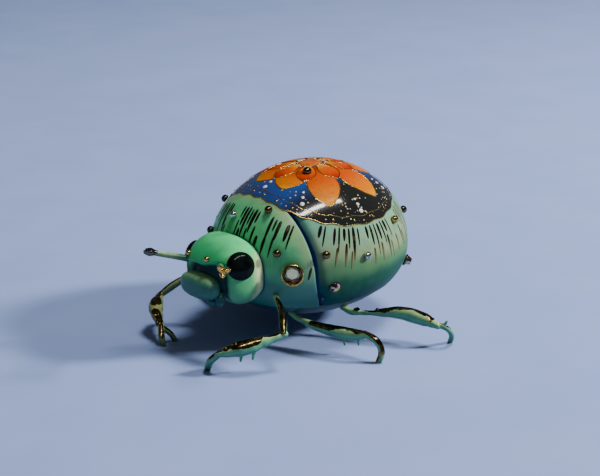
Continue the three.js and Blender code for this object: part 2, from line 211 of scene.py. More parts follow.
def shell_point(y, angle, part=1.0):
    """A point on the shell's ring at y; part below 1 lies inside it."""
    forward = min(1.0, max(0.0, y / GROOVE_Y))
    across = math.cos(angle)
    rising = math.sin(angle)
    power = 1 - LOWER_FLANK_FULLNESS * forward if rising < 0 else 1
    ring = ring_at(y) * part
    x = HALF_WIDTH * ring * math.copysign(abs(across) ** power, across)
    height = RISE if rising > 0 else DROP
    return Vector((x, y, WIDEST_LEVEL + height * ring * rising))


def leaning_point(level, angle, part=1.0):
    """A shell point whose ring leans with the groove, fading out away from it."""
    span = LEAN_FADE_AHEAD if level < GROOVE_Y else LEAN_FADE_BEHIND
    share = 1 - smooth_share(abs(level - GROOVE_Y), 0, span)
    point = shell_point(level, angle, part)
    for _ in range(12):
        below = WIDEST_LEVEL - point.z
        lean = GROOVE_LEAN * below + GROOVE_SWEEP * max(0.0, below) ** 2
        point = shell_point(level + share * lean, angle, part)
    return point


def shell_seat(y, degrees):
    """The placing of trim that stands on the shell: local Z points away from it."""
    angle = math.radians(degrees)
    step = 0.01
    point = shell_point(y, angle)
    along = shell_point(y + step, angle) - point
    around = shell_point(y, angle + step) - point
    normal = along.cross(around).normalized()
    sideways = around.normalized()
    forward = normal.cross(sideways)
    turn = Matrix((sideways, forward, normal)).transposed().to_4x4()
    return Matrix.Translation(point + normal * TRIM_LIFT) @ turn


def bare_back_point(across, rearward):
    """A flat drawing point, in degrees from the top, laid on the shell."""
    away = math.radians(math.hypot(across, rearward))
    bearing = math.atan2(rearward, across)
    sideways = math.sin(away) * math.cos(bearing)
    share = math.sin(away) * math.sin(bearing)
    reach = FRONT_REACH if share < 0 else REAR_REACH
    y = reach * math.copysign(abs(share) ** END_BLUNTNESS, share)
    return shell_point(y, math.atan2(math.cos(away), sideways))


def back_point(drawn):
    """A flat drawing point with its lift in millimetres as Z, laid on the shell."""
    step = 0.05
    point = bare_back_point(drawn.x, drawn.y)
    across = bare_back_point(drawn.x + step, drawn.y) - point
    rearward = bare_back_point(drawn.x, drawn.y + step) - point
    return point + across.cross(rearward).normalized() * drawn.z


def lay_on_back(bm):
    for vert in bm.verts:
        vert.co = back_point(vert.co)


# Finishes

class Finish:
    """A material put together from nodes; places are in millimetres round the shell."""

    def __init__(self, name):
        self.material = bpy.data.materials.new(name)
        self.material.use_nodes = True
        self.tree = self.material.node_tree
        self.shader = self.tree.nodes["Principled BSDF"]
        self.spot = None
        self.parts = None

    def node(self, kind, **settings):
        made = self.tree.nodes.new(kind)
        for key, value in settings.items():
            setattr(made, key, value)
        return made

    def feed(self, socket, value):
        if isinstance(value, bpy.types.NodeSocket):
            self.tree.links.new(value, socket)
        else:
            socket.default_value = value

    def place(self):
        if self.spot is None:
            coordinates = self.node("ShaderNodeTexCoord")
            mapping = self.node("ShaderNodeMapping")
            mapping.inputs["Location"].default_value = (0, -SHELL_SETBACK, 0)
            mapping.inputs["Scale"].default_value = (1 / MM, 1 / MM, 1 / MM)
            self.feed(mapping.inputs["Vector"], coordinates.outputs["Object"])
            self.spot = mapping.outputs["Vector"]
        return self.spot

    def axis(self, letter):
        if self.parts is None:
            self.parts = self.node("ShaderNodeSeparateXYZ")
            self.feed(self.parts.inputs[0], self.place())
        return self.parts.outputs[letter]

    def facing(self, letter):
        geometry = self.node("ShaderNodeNewGeometry")
        split = self.node("ShaderNodeSeparateXYZ")
        self.feed(split.inputs[0], geometry.outputs["Normal"])
        return split.outputs[letter]

    def attribute(self, name):
        return self.node("ShaderNodeAttribute", attribute_name=name).outputs["Fac"]

    def math(self, operation, first, second=0.0, third=0.0):
        made = self.node("ShaderNodeMath", operation=operation)
        for socket, value in zip(made.inputs, (first, second, third)):
            self.feed(socket, value)
        return made.outputs[0]

    def noise(self, size, detail=2.0, roughness=0.5):
        made = self.node("ShaderNodeTexNoise")
        self.feed(made.inputs["Vector"], self.place())
        made.inputs["Scale"].default_value = 1 / size
        made.inputs["Detail"].default_value = detail
        made.inputs["Roughness"].default_value = roughness
        return made.outputs["Fac"]

    def wander(self, value, size, amount):
        """A value that strays by up to about half of amount, over patches of that size."""
        stray = self.math("MULTIPLY_ADD", self.noise(size), amount, -amount / 2)
        return self.math("ADD", value, stray)

    def step(self, value, low, high):
        made = self.node("ShaderNodeMapRange", interpolation_type="SMOOTHSTEP")
        self.feed(made.inputs["Value"], value)
        made.inputs["From Min"].default_value = low
        made.inputs["From Max"].default_value = high
        return made.outputs["Result"]

    def span(self, value, low, high, first=0.0, last=1.0):
        made = self.node("ShaderNodeMapRange")
        self.feed(made.inputs["Value"], value)
        limits = {"From Min": low, "From Max": high, "To Min": first, "To Max": last}
        for name, limit in limits.items():
            made.inputs[name].default_value = limit
        return made.outputs["Result"]

    def ramp(self, value, stops, interpolation="EASE"):
        made = self.node("ShaderNodeValToRGB")
        made.color_ramp.interpolation = interpolation
        elements = made.color_ramp.elements
        while len(elements) < len(stops):
            elements.new(0.5)
        for element, (position, colour) in zip(elements, stops):
            element.position = position
            element.color = (*colour, 1)
        self.feed(made.inputs["Fac"], value)
        return made.outputs["Color"]

    def blend(self, share, first, second):
        made = self.node("ShaderNodeMix", data_type="RGBA")
        self.feed(made.inputs["Factor"], share)
        for socket, value in ((made.inputs[6], first), (made.inputs[7], second)):
            self.feed(socket, value if isinstance(value, bpy.types.NodeSocket) else (*value, 1))
        return made.outputs[2]

    def mottle(self, colour, dark, size, amount):
        """Uneven spray: the colour goes towards a darker one in soft patches."""
        share = self.math("MULTIPLY", self.step(self.noise(size, 4), 0.35, 0.75), amount)
        return self.blend(share, colour, dark)

    def bump(self, height, distance, strength=1.0):
        made = self.node("ShaderNodeBump")
        made.inputs["Strength"].default_value = strength
        made.inputs["Distance"].default_value = distance * MM
        self.feed(made.inputs["Height"], height)
        self.feed(self.shader.inputs["Normal"], made.outputs["Normal"])

    def set(self, **values):
        for key, value in values.items():
            socket = self.shader.inputs[key.replace("_", " ")]
            if not isinstance(value, (tuple, list)):
                self.feed(socket, value)
            else:
                socket.default_value = (*value, 1) if len(value) == 3 else value

    def glaze(self, colour, roughness=0.42):
        """Satin sprayed glaze: fine grain, a slightly uneven sheen and a thin clear coat."""
        grain = self.noise(0.22, 3, 0.6)
        rough = self.math("MULTIPLY_ADD", self.noise(5, 2), 0.16, roughness - 0.08)
        self.set(Base_Color=colour, Roughness=rough, Specular_IOR_Level=0.35)
        self.set(Coat_Weight=0.08, Coat_Roughness=0.15)
        self.bump(grain, 0.02, 0.5)
        return self.material


DARK_TEAL = (0.006, 0.045, 0.042)
DEEP_BLUE = (0.006, 0.042, 0.11)
SAGE = (0.33, 0.48, 0.22)


def wing_case_paint():
    made = Finish("wing_case_paint")
    level = made.wander(made.axis("Z"), 9, 5)
    colour = made.ramp(made.span(level, RIM_LEVEL, 36), [
        (0.02, DARK_TEAL),
        (0.2, (0.015, 0.08, 0.045)),
        (0.35, (0.09, 0.21, 0.085)),
        (0.48, (0.22, 0.31, 0.15)),
        (0.62, (0.2, 0.34, 0.2)),
        (0.76, (0.14, 0.36, 0.24)),
        (1.0, (0.08, 0.32, 0.2)),
    ])
    # Painted shade: the wing case turns a darker olive towards the tail.
    tail = made.step(made.wander(made.axis("Y"), 7, 5), 11, 22)
    colour = made.blend(made.math("MULTIPLY", tail, 0.7), colour, (0.1, 0.17, 0.075))
    # Painted shade at the groove: a soft dark blue band behind it that is stronger lower down, and a deep
    # blue line right in it.
    behind = made.wander(made.attribute("from_groove"), 6, 0.6)
    groove_shade = made.math("MULTIPLY", made.step(behind, 3.4, 0.8), made.step(made.axis("Z"), 22, 13))
    colour = made.blend(made.math("MULTIPLY", groove_shade, 0.7), colour, (0.01, 0.055, 0.085))
    colour = made.mottle(colour, (0.03, 0.14, 0.12), 2.6, 0.25)
    colour = made.blend(made.step(behind, 0.95, 0.5), colour, DEEP_BLUE)
    finished = made.glaze(colour)
    made.set(Specular_IOR_Level=0.04, Coat_Weight=0.03)
    return finished


def pronotum_paint():
    made = Finish("pronotum_paint")
    level = made.wander(made.axis("Z"), 7, 4)
    colour = made.ramp(made.span(level, RIM_LEVEL, 34), [
        (0.0, (0.03, 0.15, 0.12)),
        (0.24, (0.06, 0.22, 0.15)),
        (0.42, (0.1, 0.5, 0.19)),
        (0.64, (0.13, 0.72, 0.25)),
        (1.0, (0.12, 0.66, 0.25)),
    ])
    # Teal-blue along the collar next to the head: partly the glaze's own airbrushed colour and partly
    # painted shade where the shell dips behind the head.
    collar = made.step(made.wander(made.attribute("from_head"), 3, 0.8), 1.2, 0.2)
    colour = made.blend(made.math("MULTIPLY", collar, 0.7), colour, (0.01, 0.16, 0.19))
    ahead = made.wander(made.attribute("from_groove"), 5, 2)
    pale = made.math("MULTIPLY", made.step(ahead, 5.4, 0.6), made.step(level, 14, 22))
    colour = made.blend(made.math("MULTIPLY", pale, 0.85), colour, SAGE)
    colour = made.mottle(colour, (0.03, 0.2, 0.12), 2.4, 0.25)
    # Painted shadow: a thin deep-blue line where the pronotum meets the head and the groove.
    edge = made.math("MINIMUM", made.attribute("from_head"), made.attribute("from_groove"))
    colour = made.blend(made.step(edge, 0.5, 0.3), colour, DEEP_BLUE)
    return made.glaze(colour)


def head_paint():
    made = Finish("head_paint")
    level = made.wander(made.axis("Z"), 6, 2.5)
    colour = made.ramp(made.span(level, 11, 28), [
        (0.0, (0.07, 0.22, 0.15)),
        (0.3, (0.08, 0.44, 0.15)),
        (0.62, (0.045, 0.54, 0.17)),
        (1.0, (0.055, 0.58, 0.2)),
    ])
    # A pale cream band low on the back of the head: partly the glaze's own colour and partly a painted
    # highlight on the cheek rim.
    nape = made.step(made.wander(made.axis("Y"), 4, 1.6), -27.2, -24)
    rim = made.math("MULTIPLY", nape, made.step(level, 25, 21))
    colour = made.blend(rim, colour, (0.6, 0.68, 0.34))
    colour = made.mottle(colour, (0.03, 0.2, 0.1), 2.2, 0.25)
    # Painted shade: the far cheek under the brow and the sunken face go dark teal.
    far = made.math("MULTIPLY", made.step(made.axis("X"), -5.6, -7.4), made.step(level, 21.4, 19.6))
    hollow = made.step(made.attribute("hollow"), 0.25, 0.8)
    shaded = made.math("MAXIMUM", hollow, made.math("MULTIPLY", far, 0.85))
    colour = made.blend(shaded, colour, (0.008, 0.05, 0.055))
    finished = made.glaze(colour)
    made.set(Roughness=made.span(hollow, 0, 1, 0.42, 0.75))
    return finished


def muzzle_paint():
    made = Finish("muzzle_paint")
    level = made.wander(made.axis("Z"), 3, 1)
    # Darker towards the bottom; the pale olive band near the top is partly the glaze's own rim colour and
    # partly a painted highlight along the top edge.
    colour = made.ramp(made.span(level, 13, 20), [
        (0.0, (0.02, 0.12, 0.105)),
        (0.5, (0.045, 0.2, 0.13)),
        (0.66, (0.1, 0.36, 0.17)),
        (0.8, (0.34, 0.56, 0.26)),
        (1.0, (0.22, 0.54, 0.26)),
    ])
    return made.glaze(made.mottle(colour, (0.01, 0.08, 0.07), 1.6, 0.3))


def belly_paint():
    made = Finish("belly_paint")
    colour = made.ramp(made.noise(6, 3), [(0.3, (0.008, 0.045, 0.055)), (0.7, (0.02, 0.085, 0.085))])
    return made.glaze(made.mottle(colour, (0.004, 0.02, 0.03), 2, 0.4), 0.45)


def leg_paint(name, under, middle, upper):
    """Glaze that turns teal on faces turned down and paler green on faces turned up, painted shade and
    painted light, with gold lustre brushed along the top.
    """
    made = Finish(name)
    # Painted light and shade: paler on faces turned up, teal on faces turned down.
    colour = made.ramp(made.span(made.wander(made.facing("Z"), 3, 0.7), -1, 1), [
        (0.2, under), (0.55, middle), (0.8, upper),
    ])
    colour = made.mottle(colour, (0.02, 0.1, 0.09), 1.8, 0.3)
    # Painted shade: darker teal near the floor.
    low = made.step(made.axis("Z"), 2.2, 0)
    colour = made.blend(made.math("MULTIPLY", low, 0.6), colour, (0.015, 0.06, 0.05))
    gold = made.step(made.wander(made.attribute("gold"), 1.6, 0.5), 0, 0.08)
    # The gold lustre's near-black to dark gold base is a painted dark reflection of the surroundings it
    # mirrors.
    lustre = made.ramp(made.noise(0.9, 3), [(0.4, (0.05, 0.035, 0.012)), (0.65, (0.26, 0.18, 0.06))])
    colour = made.blend(gold, colour, lustre)
    finished = made.glaze(colour, 0.34)
    made.set(Metallic=gold, Roughness=made.span(gold, 0, 1, 0.42, 0.16))
    return finished


def antenna_paint(name, club_metal):
    made = Finish(name)
    stalk = made.ramp(made.noise(2.4, 3), [(0.3, (0.14, 0.3, 0.14)), (0.7, (0.36, 0.45, 0.2))])
    root = made.step(made.wander(made.attribute("from_tip"), 1.5, 1), -4.4, -6.5)
    colour = made.blend(root, stalk, (0.03, 0.2, 0.09))
    club = made.step(made.wander(made.attribute("from_tip"), 1.2, 0.5), -1, -0.5)
    colour = made.blend(club, colour, club_metal)
    finished = made.glaze(colour, 0.3)
    made.set(Metallic=club, Roughness=made.span(club, 0, 1, 0.4, 0.12))
    return finished


def eye_gloss():
    made = Finish("eye_gloss")
    black = made.ramp(made.noise(2.5, 2), [(0.3, (0.001, 0.002, 0.002)), (0.8, (0.004, 0.008, 0.007))])
    gloss = made.span(made.noise(1.5, 2), 0, 1, 0.05, 0.14)
    made.set(Base_Color=black, Roughness=gloss, Specular_IOR_Level=0.12)
    return made.material


def metal(name, bright, dark, roughness, patch=0.9):
    """Polished metal with darker, duller patches."""
    made = Finish(name)
    tarnish = made.step(made.noise(patch, 4, 0.6), 0.42, 0.72)
    rough = made.math("MULTIPLY_ADD", tarnish, 0.14, roughness)
    made.set(Base_Color=made.blend(tarnish, bright, dark), Metallic=1.0, Roughness=rough)
    made.bump(made.noise(0.3, 3), 0.01, 0.4)
    return made.material


def brush_lustre():
    """Brushed lustre: a near-black base where it starts, a painted dark reflection; olive gold lower down
    and at the tail, partly thinner lustre and partly painted reflection.
    """
    made = Finish("brush_lustre")
    # Painted dark reflection: the near-black base of the lustre.
    deep = made.ramp(made.noise(1.2, 3), [(0.55, (0.008, 0.008, 0.005)), (0.75, (0.09, 0.065, 0.02))])
    tail = made.step(made.wander(made.axis("Y"), 4, 6), 5, 17)
    low = made.step(made.wander(made.attribute("drop"), 2, 6), 12, 22)
    rear = made.step(made.axis("Y"), -16.4, -14.6)
    # Olive gold lower down and at the tail: partly thinner lustre and partly painted reflection.
    thin = made.math("MAXIMUM", tail, made.math("MULTIPLY", low, rear))
    made.set(
        Base_Color=made.blend(thin, deep, (0.13, 0.11, 0.035)),
        Metallic=made.span(thin, 0, 1, 0.5, 0.2),
        Roughness=made.span(thin, 0, 1, 0.25, 0.4),
    )
    return made.material


def cut_crystal():
    """Clear crystal: a bright table, and a crown tinted dark but for two pale facets, painted reflections
    fixed on the facets.
    """
    made = Finish("cut_crystal")
    table = made.ramp(made.noise(1.6, 1), [(0.35, (0.86, 0.84, 0.68)), (0.65, (0.98, 0.94, 0.76))])
    turn = made.math("ARCTAN2", made.attribute("side"), made.attribute("rise"))
    # Painted reflections: each crown facet keeps a fixed dark or pale tint.
    crown = made.ramp(made.span(turn, -math.pi, math.pi), [
        (0.0, (0.05, 0.045, 0.03)),
        (0.1, (0.75, 0.78, 0.7)),
        (0.18, (0.08, 0.06, 0.04)),
        (0.5, (0.2, 0.15, 0.08)),
        (0.6, (0.06, 0.05, 0.03)),
        (0.8, (0.7, 0.74, 0.68)),
        (0.88, (0.05, 0.045, 0.03)),
    ], "CONSTANT")
    tint = made.blend(made.step(made.attribute("crown"), 0, 0.3), table, crown)
    made.set(Base_Color=tint, Roughness=0.01, IOR=1.5, Transmission_Weight=1.0)
    return made.material


def rainbow_crystal():
    """Coated crystal: each side takes its own cast; the near-black sides towards the top are a painted dark
    reflection and the pale pink side a painted glint.
    """
    made = Finish("rainbow_crystal")
    turn = made.math("ARCTAN2", made.attribute("side"), made.attribute("rise"))
    # Painted reflections: the near-black and pale pink sides.
    tint = made.ramp(made.span(made.wander(turn, 0.8, 0.9), -math.pi, math.pi), [
        (0.0, (0.45, 0.85, 0.6)),
        (0.14, (0.7, 0.55, 0.06)),
        (0.28, (0.35, 0.35, 0.75)),
        (0.38, (0.8, 0.12, 0.2)),
        (0.46, (0.015, 0.015, 0.02)),
        (0.68, (0.85, 0.7, 0.68)),
        (0.78, (0.02, 0.04, 0.04)),
        (0.88, (0.6, 0.85, 0.7)),
    ], "CONSTANT")
    made.set(Base_Color=tint, Roughness=0.05, IOR=1.5, Transmission_Weight=0.4)
    return made.material


def ground_enamel():
    """Glossy black enamel that turns cobalt along the ridge, with fine gold and white specks."""
    made = Finish("ground_enamel")
    side = made.math("ABSOLUTE", made.wander(made.axis("X"), 5, 3))
    colour = made.blend(made.step(side, 12, 6), (0.008, 0.009, 0.008), (0.012, 0.05, 0.22))
    cells = made.node("ShaderNodeTexVoronoi")
    cells.inputs["Scale"].default_value = 1 / 1.1
    made.feed(cells.inputs["Vector"], made.place())
    speck = made.step(cells.outputs["Distance"], 0.2, 0.13)
    speck_colour = made.ramp(made.noise(1.7, 1), [(0.42, (0.55, 0.33, 0.06)), (0.58, (0.75, 0.75, 0.7))])
    colour = made.blend(made.math("MULTIPLY", speck, 0.75), colour, speck_colour)
    made.set(Base_Color=colour, Roughness=0.14, Coat_Weight=1.0, Coat_Roughness=0.05)
    made.bump(made.noise(1.4, 3), 0.03, 0.4)
    return made.material


def petal_enamel(name, stops):
    """Enamel brushed from a petal's foot to its tip, with streaks along it."""
    made = Finish(name)
    along = made.wander(made.attribute("along"), 0.8, 0.3)
    colour = made.ramp(along, stops)
    streak = made.step(made.noise(0.5, 3), 0.5, 0.75)
    colour = made.blend(made.math("MULTIPLY", streak, 0.35), colour, (0.12, 0.03, 0.005))
    made.set(Base_Color=colour, Roughness=0.38, Specular_IOR_Level=0.12)
    made.set(Coat_Weight=0.06, Coat_Roughness=0.12)
    return made.material


def dot_enamel(name, pale, deep):
    made = Finish(name)
    colour = made.ramp(made.noise(0.9, 2), [(0.35, deep), (0.6, pale)])
    made.set(Base_Color=colour, Roughness=0.2, Coat_Weight=0.8, Coat_Roughness=0.08)
    return made.material


# Shell pieces

def shell_piece(profile, steps=160):
    """Spins (part, level) points and gives them the shell's form, leaning with the groove."""
    bm = spun(profile, "Y", steps)
    mark(bm, "from_groove", lambda vert: abs(vert.co.y - GROOVE_Y))
    for vert in bm.verts:
        part = math.hypot(vert.co.x, vert.co.z)
        vert.co = leaning_point(vert.co.y, math.atan2(vert.co.z, vert.co.x), part)
    return bm


def cut_level(bm, level, keep_above=True):
    """Cuts a solid flat at a level and closes it; gives back the new edge loop."""
    bmesh.ops.bisect_plane(
        bm, geom=bm.verts[:] + bm.edges[:] + bm.faces[:], dist=1e-4, plane_co=(0, 0, level),
        plane_no=(0, 0, 1), clear_inner=keep_above, clear_outer=not keep_above,
    )
    rim = [edge for edge in bm.edges if edge.is_boundary]
    bmesh.ops.holes_fill(bm, edges=rim, sides=0)
    return rim


def round_edges(bm, edges, offset, segments=3):
    bmesh.ops.bevel(
        bm, geom=edges, offset=offset, segments=segments, profile=0.5, affect="EDGES", material=-1,
    )


def make_pronotum():
    front = FRONT_END_Y
    rear = GROOVE_Y - GROOVE_GAP_AHEAD
    profile = [(0, front)]
    profile += [(1, level) for level in even_steps(front, front + 3.5, 28)]
    profile += [(1, level) for level in even_steps(front + 3.8, rear - 0.5, 20)]
    profile += [(0.998, rear - 0.25), (0.99, rear - 0.08), (0.975, rear), (0.9, rear), (0, rear)]
    bm = shell_piece(profile)
    round_edges(bm, cut_level(bm, RIM_LEVEL), RIM_ROUNDING)
    mark(bm, "from_head", lambda vert: from_head(vert.co))
    add_piece("pronotum_glazed", bm, pronotum_paint(), ["pronotum"], 50)


def make_wing_case():
    front = GROOVE_Y + GROOVE_GAP_BEHIND
    profile = [(0, front), (0.9, front), (0.936, front + 0.05)]
    groove_wall = [(0.95, 0.2), (0.963, 0.45), (0.977, 0.75), (0.989, 1.1), (0.997, 1.5), (1, 2)]
    profile += [(part, front + back) for part, back in groove_wall]
    turns = even_steps(math.asin((front + 2.6) / REAR_REACH), math.pi / 2, 72)
    profile += [(1, REAR_REACH * math.sin(turn)) for turn in turns[:-1]]
    profile += [(0, REAR_REACH)]
    bm = shell_piece(profile)
    round_edges(bm, cut_level(bm, RIM_LEVEL), RIM_ROUNDING)
    add_piece("wing_case_glazed", bm, wing_case_paint(), ["wing_case"], 50)


def make_belly():
    """The closed underside: the shell's lower curve carried on to a flat."""
    turns = even_steps(-math.pi / 2, math.pi / 2, 64)
    profile = [(0, -BELLY_REACH)]
    profile += [(BELLY_PART, BELLY_REACH * math.sin(turn)) for turn in turns[1:-1]]
    profile += [(0, BELLY_REACH)]
    bm = spun(profile, "Y", 120)
    for vert in bm.verts:
        part = math.hypot(vert.co.x, vert.co.z)
        vert.co = shell_point(vert.co.y, math.atan2(vert.co.z, vert.co.x), part)
    cut_level(bm, RIM_LEVEL + BELLY_OVERLAP, keep_above=False)
    round_edges(bm, cut_level(bm, BELLY_FLAT_LEVEL), BELLY_ROUNDING, 4)
    add_piece("belly_glazed", bm, belly_paint(), ["belly"], 50)


# Head

def head_point(direction, part=1.0):
    """A point of the head in a direction from its middle; part below 1 lies inside it."""
    ring = math.hypot(direction.x, direction.z)
    square = abs(direction.x) ** HEAD_SQUARENESS + abs(direction.z) ** HEAD_SQUARENESS
    fuller = ring / square ** (1 / HEAD_SQUARENESS) if ring > 1e-6 else 1
    nape = 1 - NAPE_TAPER * max(0.0, direction.y) ** 2
    rise = HEAD_RISE if direction.z > 0 else HEAD_DROP
    form = Vector((direction.x * fuller, direction.y, direction.z * fuller * nape))
    return HEAD_CENTRE + form * Vector((HEAD_HALF_WIDTH, HEAD_REACH, rise)) * part


def head_seat(direction, lift):
    """The placing of a bead or an eye on the head: local Z points away from it."""
    step = 0.01
    side = direction.cross(Vector((0, 0, 1))).normalized()
    rising = side.cross(direction)
    point = head_point(direction)
    across = head_point((direction + side * step).normalized()) - point
    upward = head_point((direction + rising * step).normalized()) - point
    normal = upward.cross(across).normalized()
    turn = normal.to_track_quat("Z", "Y").to_matrix().to_4x4()
    return Matrix.Translation(point + normal * lift) @ turn


def from_head(point):
    """About how far a point lies outside the head, in millimetres."""
    away = point - HEAD_CENTRE
    rise = HEAD_RISE if away.z > 0 else HEAD_DROP
    along = min(1.0, max(0.0, away.y / HEAD_REACH))
    across = abs(away.x) / HEAD_HALF_WIDTH
    upward = abs(away.z) / rise / (1 - NAPE_TAPER * along ** 2)
    ring = (across ** HEAD_SQUARENESS + upward ** HEAD_SQUARENESS) ** (1 / HEAD_SQUARENESS)
    return (math.hypot(ring, away.y / HEAD_REACH) - 1) * HEAD_HALF_WIDTH


def arch_depth(direction):
    """How far inside the face arch a head direction lies, in shares of the head's size."""
    foot = smooth_share(-direction.z, *ARCH_FOOT_SPAN)
    half_width = ARCH_HALF_WIDTH_SHARE + (ARCH_FOOT_HALF_WIDTH_SHARE - ARCH_HALF_WIDTH_SHARE) * foot
    side = half_width - abs(direction.x)
    top = ARCH_TOP_SHARE + ARCH_TOP_SLANT * direction.x - direction.z
    corner = max(0.0, ARCH_CORNER_SHARE - abs(side - top)) / ARCH_CORNER_SHARE
    inside = min(side, top) - corner * corner * ARCH_CORNER_SHARE / 4
    return min(inside, -direction.y - FACE_BACK_SHARE)


def make_head():
    bm = bmesh.new()
    bmesh.ops.create_uvsphere(bm, u_segments=128, v_segments=96, radius=1)
    near_arch = [
        edge for edge in bm.edges
        if min(abs(arch_depth(vert.co)) for vert in edge.verts) < 3 * ARCH_EDGE_SHARE
    ]
    bmesh.ops.subdivide_edges(bm, edges=near_arch, cuts=2, use_grid_fill=True)
    bmesh.ops.triangulate(bm, faces=[face for face in bm.faces if len(face.verts) > 4])
    hollow = bm.verts.layers.float.new("hollow")
    for vert in bm.verts:
        direction = vert.co.normalized()
        sunk = smooth_share(arch_depth(direction), -ARCH_EDGE_SHARE, ARCH_EDGE_SHARE)
        vert[hollow] = sunk
        vert.co = head_point(direction, 1 - (1 - FACE_CORE_SHARE) * sunk)
    add_piece("head_glazed", bm, head_paint(), ["head"], 80)


def make_muzzle():
    bm = bmesh.new()
    bmesh.ops.create_uvsphere(bm, u_segments=72, v_segments=48, radius=1)
    for vert in bm.verts:
        size = sum(abs(value) ** MUZZLE_SQUARENESS for value in vert.co) ** (1 / MUZZLE_SQUARENESS)
        vert.co = vert.co / size * MUZZLE_HALF_SIZES
    place = Matrix.Translation(MUZZLE_CENTRE) @ Matrix.Rotation(MUZZLE_TILT, 4, "X")
    bmesh.ops.transform(bm, matrix=place, verts=bm.verts)
    for start, end in MOUTH_LOBES:
        limb(bm, [start, end], MOUTH_LOBE_WIDTHS, rings=16, around=20)
    add_piece("muzzle_glazed", bm, muzzle_paint(), ["muzzle"], 60)


def make_eyes():
    finish = eye_gloss()
    for side, (direction, radius) in EYES.items():
        arc = even_steps(-math.pi / 2, math.pi / 2, 40)
        bm = spun([(radius * math.cos(a), EYE_BULGE * math.sin(a)) for a in arc], "Z", 64)
        bmesh.ops.transform(bm, matrix=head_seat(direction, -EYE_SINK), verts=bm.verts)
        add_piece(f"eye_{side}_gloss", bm, finish, [f"eye_{side}"])


# Limbs

def along_curve(points, share):
    """A point on a smooth curve through the points, share 0 to 1."""
    first = points[0] * 2 - points[1]
    last = points[-1] * 2 - points[-2]
    full = [first, *points, last]
    place = min(max(share, 0.0), 1.0) * (len(points) - 1)
    index = min(int(place), len(points) - 2)
    t = place - index
    a, b, c, d = full[index:index + 4]
    return 0.5 * (
        b * 2 + (c - a) * t + (a * 2 - b * 5 + c * 4 - d) * t * t + (b * 3 - a - c * 3 + d) * t ** 3
    )


def width_at(widths, share):
    place = min(max(share, 0.0), 1.0) * (len(widths) - 1)
    index = min(int(place), len(widths) - 2)
    return widths[index] + (widths[index + 1] - widths[index]) * smooth_share(place - index, 0, 1)


def limb(bm, points, widths, rings=48, around=24, cap=6):
    """Adds a tapered tube with rounded ends, wrapped from a flat grid."""
    points = [Vector(point) for point in points]
    stations = []
    side = Vector((0, 0, 1))
    for index in range(-cap, rings + cap + 1):
        share = min(max(index / rings, 0.0), 1.0)
        centre = along_curve(points, share)
        tangent = along_curve(points, min(1, share + 0.01)) - along_curve(points, max(0, share - 0.01))
        tangent.normalize()
        side = (side - tangent * side.dot(tangent)).normalized()
        radius = width_at(widths, share) / 2
        beyond = (max(0, -index) - max(0, index - rings)) / cap * math.pi / 2
        centre = centre - tangent * radius * math.sin(beyond)
        stations.append((centre, side.copy(), tangent.cross(side), radius * math.cos(beyond)))
    count = len(stations) - 1
    made = bmesh.ops.create_grid(bm, x_segments=count, y_segments=around, size=1)["verts"]
    for vert in made:
        index = round((vert.co.x + 1) / 2 * count)
        angle = math.pi * (vert.co.y + 1)
        centre, side, other, radius = stations[index]
        vert.co = centre + (side * math.cos(angle) + other * math.sin(angle)) * radius
    bmesh.ops.remove_doubles(bm, verts=made, dist=MERGE_DISTANCE)


def fused(bm, grain, rounds):
    """One skin over all the shapes in a bmesh, with the joints between them softened."""
    mesh = bpy.data.meshes.new("scratch")
    bm.to_mesh(mesh)
    bm.free()
    holder = new_object("scratch", mesh)
    skin = holder.modifiers.new("skin", "REMESH")
    skin.mode = "VOXEL"
    skin.voxel_size = grain
    bpy.context.view_layer.update()
    ready = holder.evaluated_get(bpy.context.evaluated_depsgraph_get())
    result = bmesh.new()
    result.from_mesh(ready.to_mesh())
    ready.to_mesh_clear()
    bpy.data.objects.remove(holder)
    bpy.data.meshes.remove(mesh)
    for _ in range(rounds):
        bmesh.ops.smooth_vert(
            result, verts=result.verts, factor=0.5, use_axis_x=True, use_axis_y=True, use_axis_z=True,
        )
    return result


SPINE_WIDTHS = (1.1, 0.8, 0.6)

# Each tube of a leg: its path, its widths, and how far down the sides the gold lustre reaches.
FRONT_LEFT_LEG = {
    "tubes": [
        (
            [(11.6, -21.6, 13.4), (16.1, -23.7, 11.6), (20.1, -26.8, 8.4)],
            (1.3, 1.5, 1.7, 1.9, 1.5), (0, 0.5, 0.9, 0.95, 0.7),
        ),
        (
            [(20.2, -26.4, 8.2), (16.6, -33.2, 6.3), (12.3, -39.3, 4.6)],
            (1.4, 1.8, 2.6, 3.5, 3.6, 2.6, 1.4), (0, 0.4, 0.1, 0.75, 0.8, 0.75, 0.25, 0.45),
        ),
        (
            [(12.6, -38.9, 4.9), (10.6, -40, 2.7), (8.6, -39.5, -0.4)],
            (1.5, 1.7, 1.7, 1.6, 1.4), (0.5, 0.8, 0.6, 0),
        ),
    ],
    "spines": [((17, -32.6, 5.4), (16.8, -33, 3.1)), ((15.4, -34.9, 4.9), (15.2, -35.2, 2.8))],
    "knobs": [((14.6, -36.5, 7.1), 0.5), ((13.3, -38.2, 6.1), 0.5)],
}
